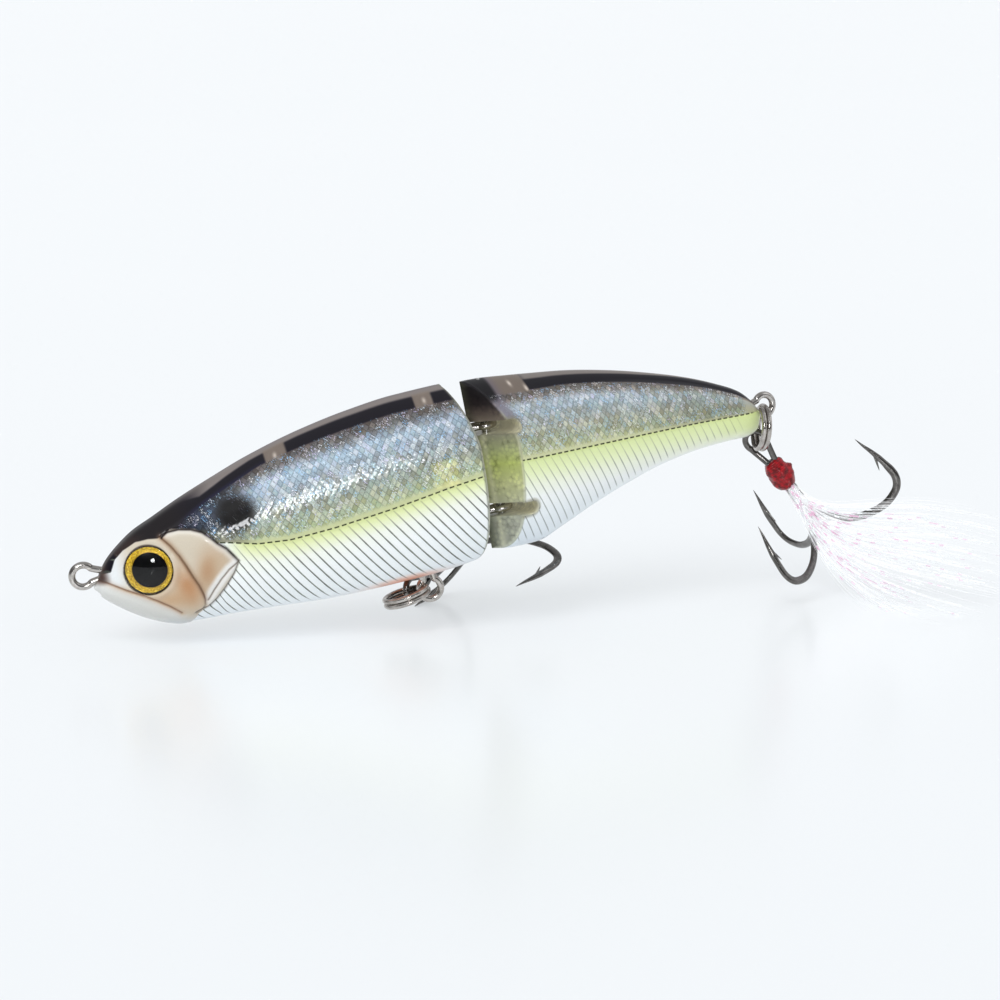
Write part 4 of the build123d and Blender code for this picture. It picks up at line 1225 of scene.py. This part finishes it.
def lure_eye(side_name, side):
    axis, centre = EYE_DIR * vec(1, side, 1), EYE_SEAT * vec(1, side, 1)
    right = unit(vec(1, 0, 0) - axis * axis[0])
    up = np.cross(axis, right)
    up = up if up[2] > 0 else -up
    angle = np.linspace(0, 2 * pi, EYE_SEGMENTS, endpoint=False)
    cos, sin = np.cos(angle)[:, None], np.sin(angle)[:, None]

    # foil disc: slightly dished ring and a raised pupil set 0.22 towards the tail
    radii = np.r_[0.02, np.linspace(0.4, PUPIL_R, 12), 3.04, 3.10, np.linspace(3.2, 3.95, 8),
                  4.02, 4.03, 4.02]
    heights = np.interp(radii, [0, PUPIL_R, 3.12, 3.5, 3.95, 4.05],
                        [0.36, 0.34, 0.26, 0.20, 0.27, 0.27])
    heights[-2:] = (0.10, 0.02)
    shifts = np.interp(radii, [0, 3.1, 4.0], [1, 1, 0]) * 0.22
    rings = [centre + axis * height + right * (radius * cos + shift) + up * (radius * sin)
             for radius, height, shift in zip(radii, heights, shifts)]
    polar = np.stack([np.repeat(radii, EYE_SEGMENTS), np.tile(angle, len(radii)),
                      np.zeros(len(radii) * EYE_SEGMENTS)], 1)
    foil = add_mesh("eye_foil_" + side_name, *turned(rings, axis, row=6), MAT_FOIL, 60,
                    eyeuv=polar)
    fit(foil, "front_body", side_name + "_eye_foil")

    # clear dome: spherical cap, short wall and flat underside, as (radius, height)
    sphere = (DOME_R * DOME_R + DOME_RISE * DOME_RISE) / (2 * DOME_RISE)
    profile = [(sphere * math.sin(a), DOME_BASE + DOME_RISE - sphere + sphere * math.cos(a))
               for a in np.linspace(0.004, math.asin(3.98 / sphere), 34)]
    profile += [(4.04, 0.83), (4.07, 0.74), (4.07, 0.45), (4.03, 0.38), (3.9, 0.375),
                (2.0, 0.375), (0.01, 0.375)]
    rings = [centre + axis * height + radius * (cos * right + sin * up)
             for radius, height in profile]
    dome = add_mesh("eye_dome_" + side_name, *turned(rings, axis, row=12), MAT_RESIN, 60)
    fit(dome, "front_body", side_name + "_eye_dome")


lure_eye("left", -1)
lure_eye("right", 1)

# ------------------------------------------------------------------ thread wrap
WRAP_START, WRAP_END, THREAD_PITCH = 4.55, 10.25, 0.34
# Distance along the tail hook's shank, radius of the wrap.
WRAP_PROFILE = [(4.55, 0.95), (4.75, 1.36), (5.3, 1.72), (6.2, 2.02), (7.4, 2.16), (8.4, 2.08),
                (9.3, 1.86), (9.9, 1.60), (10.25, 1.22)]
shank_side = unit(np.cross(TAIL_SHANK, vec(0.2, 0.9, 0.1)))
shank_up = np.cross(TAIL_SHANK, shank_side)


def thread_material():
    """Red lacquered thread; "wrap" counts the turns."""
    sh = new_material("red_thread")
    place = sh.position()
    wrap = sh.attr("wrap")
    off_crown = sh.calc("ABSOLUTE", sh.sub(sh.calc("FRACT", wrap), 0.5))
    tone = sh.noise(place, scale=1500.0, detail=3.0)
    col = sh.ramp(tone, [(0.3, "4a0108"), (0.5, "920411"), (0.7, "c40c1e")])
    # Darker between the turns: painted shade in the grooves of the winding.
    col = sh.mix(sh.smooth(off_crown, 0.36, 0.49), col, "2c0104")
    fluff = sh.noise(place, scale=9000.0)
    height = sh.add(sh.mul(tone, 0.6), sh.mul(fluff, 0.35))
    return sh.finish(Base_Color=col, Roughness=0.34, Coat_Weight=0.6, Coat_Roughness=0.06,
                     Specular_IOR_Level=0.15, Subsurface_Weight=0.05,
                     Subsurface_Radius=(0.001, 0.0002, 0.0002),
                     Normal=sh.bump(height, distance=0.00018, strength=0.8))


def thread_wrap():
    """Lumpy spindle of wound thread round the shank, with a knot on the camera side."""
    rows, cols = 240, 110
    stations = np.linspace(WRAP_START, WRAP_END, rows)
    along, angle = np.meshgrid(stations, np.linspace(0, 2 * pi, cols, endpoint=False),
                               indexing="ij")
    radius = np.interp(stations, *np.transpose(WRAP_PROFILE))[:, None]
    turn = along / THREAD_PITCH + angle / (2 * pi)
    radius = radius + (0.085 * np.sqrt(np.abs(np.sin(pi * turn)))
                       * smooth(0.0, 0.4, along - WRAP_START) * smooth(0.0, 0.3, WRAP_END - along))
    radius += (0.09 * np.sin(2 * angle + along * 1.7) + 0.07 * np.sin(3 * angle - 2.3 * along + 1.0)
               + 0.04 * np.sin(5 * angle + 3.1 * along))
    knot = unit(CAM_RIGHT * 0.75 + CAM_UP * 0.65)
    knot_angle = math.atan2(knot @ shank_up, knot @ shank_side)
    off_knot = np.angle(np.exp(1j * (angle - knot_angle)))
    radius += 0.55 * bell(off_knot, 0.36, along - 7.1, 0.62)
    out = np.cos(angle)[..., None] * shank_side + np.sin(angle)[..., None] * shank_up
    verts = TAIL_EYE + along[..., None] * TAIL_SHANK + radius[..., None] * out
    obj = add_mesh("thread_windings", verts.reshape(-1, 3), capped_grid(rows, cols),
                   thread_material(), 60, wrap=turn.ravel())
    fit(obj, "tail_hook", "thread_wrap")


thread_wrap()

# ------------------------------------------------------------------ hackle and flash strands
# Top, middle and bottom strand of the bunch: distance to the camera's right and up, from the
# lower end of the wrap.
STRAND_ROOT = TAIL_EYE + TAIL_SHANK * 10.0
TOP_STRAND = np.array([(0, 0), (1.2, -0.9), (3.2, -1.9), (6.2, -2.9), (10.0, -3.0), (16, -2.6),
                       (23, -2.4), (30, -3.4), (37, -5.0)])
MID_STRAND = np.array([(0, 0), (1.3, -2.0), (3.2, -4.8), (6.5, -8.2), (11.0, -11.2),
                       (17, -13.2), (24, -14.8), (31, -16.4), (38, -18.0)])
LOW_STRAND = np.array([(0, 0), (1.0, -2.6), (2.4, -6.2), (4.4, -10.6), (7.4, -15.6),
                       (11.5, -20.2), (16.5, -24.0), (22.5, -26.8), (28, -28.4)])
FEATHERS = (0.92, 0.78, 0.66, 0.56, 0.48, 0.40, 0.30, 0.2, 0.1)     # heights in the bunch


def lowest_point():
    """Height along the table's normal of the lowest vertex made so far."""
    low = 1e9
    for obj in lure.objects:
        coords = np.empty(len(obj.data.vertices) * 3)
        obj.data.vertices.foreach_get("co", coords)
        low = min(low, float((coords.reshape(-1, 3) @ TABLE_UP).min()) / MM)
    return low


TABLE_HEIGHT = lowest_point()


def draw_scatter(depth_mean=0, depth=0.42, spread=0.6):
    """Random depth, sideways and upward drift, two wave phases and a root angle."""
    return np.r_[rng.normal(depth_mean, depth, 1), rng.normal(0, spread, 2), rng.random(3)]


def strand(height, reach, scatter):
    """An S-shaped strand, at height 1 (top of the bunch) to 0 (bottom)."""
    depth, drift, lift_up, wave_a, wave_b, root_angle = scatter
    if height > 0.5:
        outline = MID_STRAND + (TOP_STRAND - MID_STRAND) * (height - 0.5) * 2
    else:
        outline = LOW_STRAND + (MID_STRAND - LOW_STRAND) * height * 2
    flat = curve(outline, 60)
    run = run_length(flat)
    along = np.linspace(0, min(reach, 1.0) * run[-1], 34)
    right, up = (np.interp(along, run, column) for column in flat.T)
    w = along / run[-1]
    back = 0.40 * right * w ** 0.3 + depth * (0.5 + 5.5 * w ** 1.2)
    right = right + drift * 0.9 * w + 0.30 * np.sin(w * (5 + 3 * wave_a) + wave_b * 6) * w
    up = up + lift_up * 1.1 * w + 0.35 * np.sin(w * (4 + 3 * wave_b) + wave_a * 6) * w
    path = (STRAND_ROOT + CAM_RIGHT * right[:, None] + CAM_UP * up[:, None]
            + CAM_BACK * back[:, None])
    turn = root_angle * 6.28
    root = (shank_side * math.cos(turn) + shank_up * math.sin(turn)) * 0.95
    return path + root * np.clip(1 - w * 5, 0, 1)[:, None]


def lift(path, clearance):
    """Keeps a strand just above the table by moving it towards the camera."""
    height = path @ TABLE_UP - TABLE_HEIGHT - clearance
    return path + np.clip(-height / (CAM_BACK @ TABLE_UP), 0, 5.2)[:, None] * CAM_BACK


class Fibres(Tubes):
    """Tubes that also carry a random tone each, and 0..1 along their length."""

    def __init__(self):
        super().__init__()
        self.tones, self.alongs = [], []

    def mark(self, count, sides, tone):
        self.tones.append(np.full(count * sides, tone))
        self.alongs.append(np.repeat(np.linspace(0, 1, count), sides))

    def hair(self, path, root_r, tip_r, tone, sides=4):
        radius = np.linspace(root_r, tip_r, len(path))
        self.tube(path, radius, radius * 0.6, sides=sides)
        self.mark(len(path), sides, tone)

    def out(self, name, mat, sharp=None):
        return super().out(name, mat, sharp, tone=np.concatenate(self.tones),
                           along=np.concatenate(self.alongs))


def hackle_material():
    sh = new_material("white_hackle")
    along, tone = sh.attr("along"), sh.attr("tone")
    mottle = sh.noise(sh.position(), scale=1200.0)
    mixed = sh.add(sh.mul(tone, 0.7), sh.mul(mottle, 0.3))
    col = sh.mix(sh.smooth(mixed, 0.35, 0.9), (0.98, 0.98, 0.985), (0.88, 0.90, 0.92))
    alpha = 0.46
    # The hairs glow a little through the emission: painted light that lifts the shade inside the
    # bunch.
    return sh.finish(Base_Color=col, Roughness=0.42,
                     Alpha=sh.sub(alpha, sh.mul(along, alpha * 0.35)), Sheen_Weight=0.2,
                     Normal=sh.bump(mottle, distance=0.00002, strength=0.3),
                     Emission_Color=col, Emission_Strength=0.22)


def hackle():
    """Long loose hairs, then feathers with a fine quill and short barbs."""
    fibres = Fibres()
    for _ in range(140):
        height = rng.beta(1.15, 1.1)
        scatter = draw_scatter()
        reach = 0.45 + 0.58 * rng.beta(2.2, 1.2)
        path = lift(strand(height, reach, scatter), 0.25)
        fibres.hair(path, 0.045 + 0.022 * rng.random(), 0.014, rng.random() ** 2.2)
    barb_q = np.linspace(0, 1, 6)[:, None]
    for height in FEATHERS:
        quill = lift(strand(height, 0.96, draw_scatter(depth=0.5, spread=0.4)), 0.4)
        fibres.hair(quill, 0.09, 0.02, 0.25)
        along = tangents(quill)
        for j in range(60):
            w = 0.42 + 0.56 * j / 60
            place = w * (len(quill) - 1)
            i = int(place)
            base = quill[i] + (quill[min(i + 1, len(quill) - 1)] - quill[i]) * (place - i)
            across = unit(np.cross(along[i], CAM_BACK)) * (1 if j % 2 else -1)
            length = (2.4 + 1.2 * rng.random()) * (1.0 - 0.55 * (w - 0.42) / 0.56)
            barb = (base + along[i] * (length * barb_q * (0.9 + 0.1 * barb_q))
                    + across * (length * 0.42 * (barb_q - 0.35 * barb_q * barb_q))
                    + CAM_BACK * (0.15 * rng.normal() * barb_q))
            fibres.hair(lift(barb, 0.2), 0.022, 0.008, 0.1 + 0.2 * rng.random(), sides=3)
    fit(fibres.out("hackle_bundle", hackle_material()), "tail_hook", "feather_hackle")


def tinsel_material():
    """Pearl film: short lengths of each strand flash in a random colour."""
    sh = new_material("pearl_tinsel")
    along, tone, run = sh.attr("along"), sh.attr("tone"), sh.attr("run")
    value, rgb = sh.random(sh.combine(sh.calc("FLOOR", sh.mul(run, 1.15)), sh.mul(tone, 97.0)))
    hue = sh.ramp(rgb[0], [
        (0.0, "f2b6d2"), (0.18, "e8609c"), (0.36, "f6eef6"), (0.5, "eca6c8"), (0.62, "a889d0"),
        (0.72, "f3f8f8"), (0.88, "dfaecb"), (1.0, "f6e9d8")], "CONSTANT")
    flash = sh.smooth(value, 0.70, 0.76)
    col = sh.mix(sh.mul(flash, sh.smooth(along, 1.0, 0.2, low=0.45)), "f1f4f6", hue)
    # The strands glow a little through the emission: painted light.
    return sh.finish(Base_Color=col, Roughness=0.22, Alpha=sh.add(0.26, sh.mul(flash, 0.70)),
                     Emission_Color=col, Emission_Strength=0.15, Coat_Weight=0.6,
                     Coat_Roughness=0.08)


def tinsel():
    """Flat twisted ribbons among the hairs."""
    fibres = Fibres()
    for _ in range(54):
        height = rng.beta(1.4, 1.3) * 0.95
        scatter = draw_scatter(depth_mean=0.25)
        path = strand(height, 0.55 + 0.45 * rng.random(), scatter)
        path = lift(path + CAM_BACK * 0.25, 0.3)
        count = len(path)
        twist = rng.random() * 6.28 + np.linspace(0, 5 + 7 * rng.random(), count)
        along = tangents(path)
        across = np.cross(along, CAM_BACK)
        across /= np.linalg.norm(across, axis=1)[:, None]
        third = np.cross(along, across)
        wide = (np.cos(twist)[:, None] * across + np.sin(twist)[:, None] * third) * 0.125
        thin = np.cross(along, wide) * 0.12
        corners = [path + wide + thin, path - wide + thin, path - wide - thin, path + wide - thin]
        fibres.add(np.stack(corners, 1).reshape(-1, 3), path, 4)
        fibres.mark(count, 4, rng.random())
    fit(fibres.out("tinsel_strands", tinsel_material(), 40), "tail_hook", "flash_tinsel")


hackle()
tinsel()


# ------------------------------------------------------------------ table
TABLE_HALF = 6.0                       # metres
TABLE_CENTRE = vec(0.06, 0, 0)         # metres, before it drops onto the table plane
# Pieces that never touch the table.
CLEAR_OF_TABLE = ("hackle_bundle", "tinsel_strands", "eye_dome_left", "eye_dome_right",
                  "eye_foil_left", "eye_foil_right", "hinge_pin_rod")


def table_material():
    """Pale table that is see-through from below."""
    sh = new_material("table_white")
    mottle = sh.noise(sh.position(), scale=6.0, detail=3.0)
    top = sh.principled(Base_Color=sh.mix(mottle, (0.545, 0.565, 0.580), (0.560, 0.577, 0.590)),
                        Roughness=0.22, Emission_Color=(0.960, 0.985, 1.0),
                        Emission_Strength=0.325, Specular_IOR_Level=0.30)
    below = sh.new("ShaderNodeBsdfTransparent").outputs[0]
    mixed = sh.new("ShaderNodeMixShader", {0: sh.backfacing(), 1: top, 2: below})
    return sh.finish(mixed.outputs[0])


def rest_on_table():
    """Modifier tree that moves the table to the lowest point of the lure in any pose."""
    tree = bpy.data.node_groups.new("rest_on_table", "GeometryNodeTree")
    for direction in ("INPUT", "OUTPUT"):
        tree.interface.new_socket("Geometry", in_out=direction, socket_type="NodeSocketGeometry")
    nodes = Nodes(tree)
    group_in, group_out = nodes.new("NodeGroupInput"), nodes.new("NodeGroupOutput")
    join = nodes.new("GeometryNodeJoinGeometry")
    for obj in lure.objects:
        if obj.name not in CLEAR_OF_TABLE:
            info = nodes.new("GeometryNodeObjectInfo", {"Object": obj},
                             transform_space="RELATIVE")
            nodes.put(join.inputs[0], info.outputs["Geometry"])
    height = nodes.dot(nodes.new("GeometryNodeInputPosition").outputs[0], TABLE_UP)
    lowest = nodes.new("GeometryNodeAttributeStatistic",
                       {"Geometry": join.outputs[0], "Attribute": height}).outputs["Min"]
    drop = nodes.sub(lowest, TABLE_HEIGHT * MM)
    shift = nodes.new("ShaderNodeVectorMath", {0: tuple(TABLE_UP), "Scale": drop},
                      operation="SCALE")
    moved = nodes.new("GeometryNodeTransform", {"Geometry": group_in.outputs[0],
                                                "Translation": shift.outputs["Vector"]})
    nodes.put(group_out.inputs[0], moved.outputs[0])
    return tree


side_a = unit(np.cross(Y_AXIS, TABLE_UP))
side_b = np.cross(TABLE_UP, side_a)
table_at = TABLE_UP * TABLE_HEIGHT * MM + TABLE_CENTRE - TABLE_UP * (TABLE_CENTRE @ TABLE_UP)
table_mesh = bpy.data.meshes.new("table")
table_mesh.from_pydata(
    [tuple(table_at + side_a * a * TABLE_HALF + side_b * b * TABLE_HALF)
     for a, b in ((-1, -1), (1, -1), (1, 1), (-1, 1))], [], [(0, 1, 2, 3)])
table_mesh.update()
table = bpy.data.objects.new("table", table_mesh)
scene.collection.objects.link(table)
table_mesh.materials.append(table_material())
table.modifiers.new("rest_on_table", "NODES").node_group = rest_on_table()

# ------------------------------------------------------------------ world
# Soft boxes seen only in reflections: direction, cosine where each begins and is full, strength.
TOP_BOX = (unit(TABLE_UP + CAM_BACK * 0.25), 0.45, 0.85, 0.32)
STRIP_BOX = (unit(CAM_BACK * 0.9 + CAM_UP * 0.75 - CAM_RIGHT * 0.35), 0.93, 0.985, 0.55)
RIM_BOX = (unit(CAM_RIGHT * 0.9 + CAM_UP * 0.5 + CAM_BACK * 0.1), 0.85, 0.95, 0.8)
FAR_BOX = (unit(-CAM_BACK + TABLE_UP * (CAM_BACK @ TABLE_UP)), 0.30, 0.85, 0.56)
ROOM_LEVEL, DIFFUSE_LEVEL = 0.13, 0.78
# Glints in the left eye's dome: distance to the camera's right and up of its axis.
EYE_GLINTS = ((0.94, 1.97), (1.32, -1.20))
GLINT_SPHERE_R = 6.9


def glint_direction(right, up):
    """Where the camera's ray goes after it is mirrored at this point of the left dome."""
    seat, axis = EYE_SEAT * vec(1, -1, 1), EYE_DIR * vec(1, -1, 1)
    ball = seat + axis * (DOME_BASE + DOME_RISE - GLINT_SPHERE_R)
    aim = seat + axis * 2.0 + CAM_RIGHT * right + CAM_UP * up
    ray = unit(aim - CAM_AT)
    rel = aim - ball
    travel = -(rel @ ray) - math.sqrt(max((rel @ ray) ** 2 - rel @ rel + GLINT_SPHERE_R**2, 0))
    normal = unit(aim + ray * travel - ball)
    return ray - 2 * (ray @ normal) * normal


def make_world():
    """Even pale surroundings for diffuse light; a darker room with boxes for reflections."""
    scene.world = bpy.data.worlds.new("studio")
    sh = Shader(scene.world, "ShaderNodeOutputWorld")
    glossy = sh.new("ShaderNodeLightPath").outputs["Is Glossy Ray"]
    view = sh.new("ShaderNodeTexCoord").outputs["Generated"]

    def box(direction, start, full, strength):
        return sh.smooth(sh.dot(view, direction), start, full, high=strength)

    room = sh.add(sh.add(box(*TOP_BOX), box(*STRIP_BOX)), sh.add(box(*RIM_BOX), ROOM_LEVEL))
    room = sh.add(room, box(*FAR_BOX))
    for right, up in EYE_GLINTS:
        room = sh.add(room, box(glint_direction(right, up), 0.9945, 0.9968, strength=30.0))
    level = sh.new("ShaderNodeMix", {0: glossy, 2: DIFFUSE_LEVEL, 3: room}, data_type="FLOAT")
    background = sh.new("ShaderNodeBackground", {0: (0.955, 0.975, 1.0), 1: level.outputs[0]})
    sh.finish(background.outputs[0])


make_world()

# ------------------------------------------------------------------ light and camera
# One very large lamp, seen by the surfaces but not mirrored in them.
key = bpy.data.lights.new("key", "SUN")
key.energy = 1.5
key.angle = math.radians(38)
key_obj = bpy.data.objects.new("key", key)
scene.collection.objects.link(key_obj)
key_dir = Vector(unit(CAM_BACK * 0.95 + CAM_UP * 0.62 - CAM_RIGHT * 0.38))
key_obj.matrix_world = key_dir.to_track_quat("Z", "Y").to_matrix().to_4x4()
key_obj.visible_glossy = False

camera = bpy.data.cameras.new("camera")
camera.sensor_width = 36
camera.lens = 129.6
camera.clip_start = 0.01
camera.clip_end = 50
camera_obj = bpy.data.objects.new("camera", camera)
scene.collection.objects.link(camera_obj)
turn = Matrix(np.stack([CAM_RIGHT, CAM_UP, CAM_BACK], 1).tolist()).to_4x4()
camera_obj.matrix_world = Matrix.Translation(Vector(CAM_AT * MM)) @ turn
scene.camera = camera_obj
scene.view_settings.view_transform = "Standard"
scene.view_settings.look = "None"
scene.view_settings.exposure = 0.0
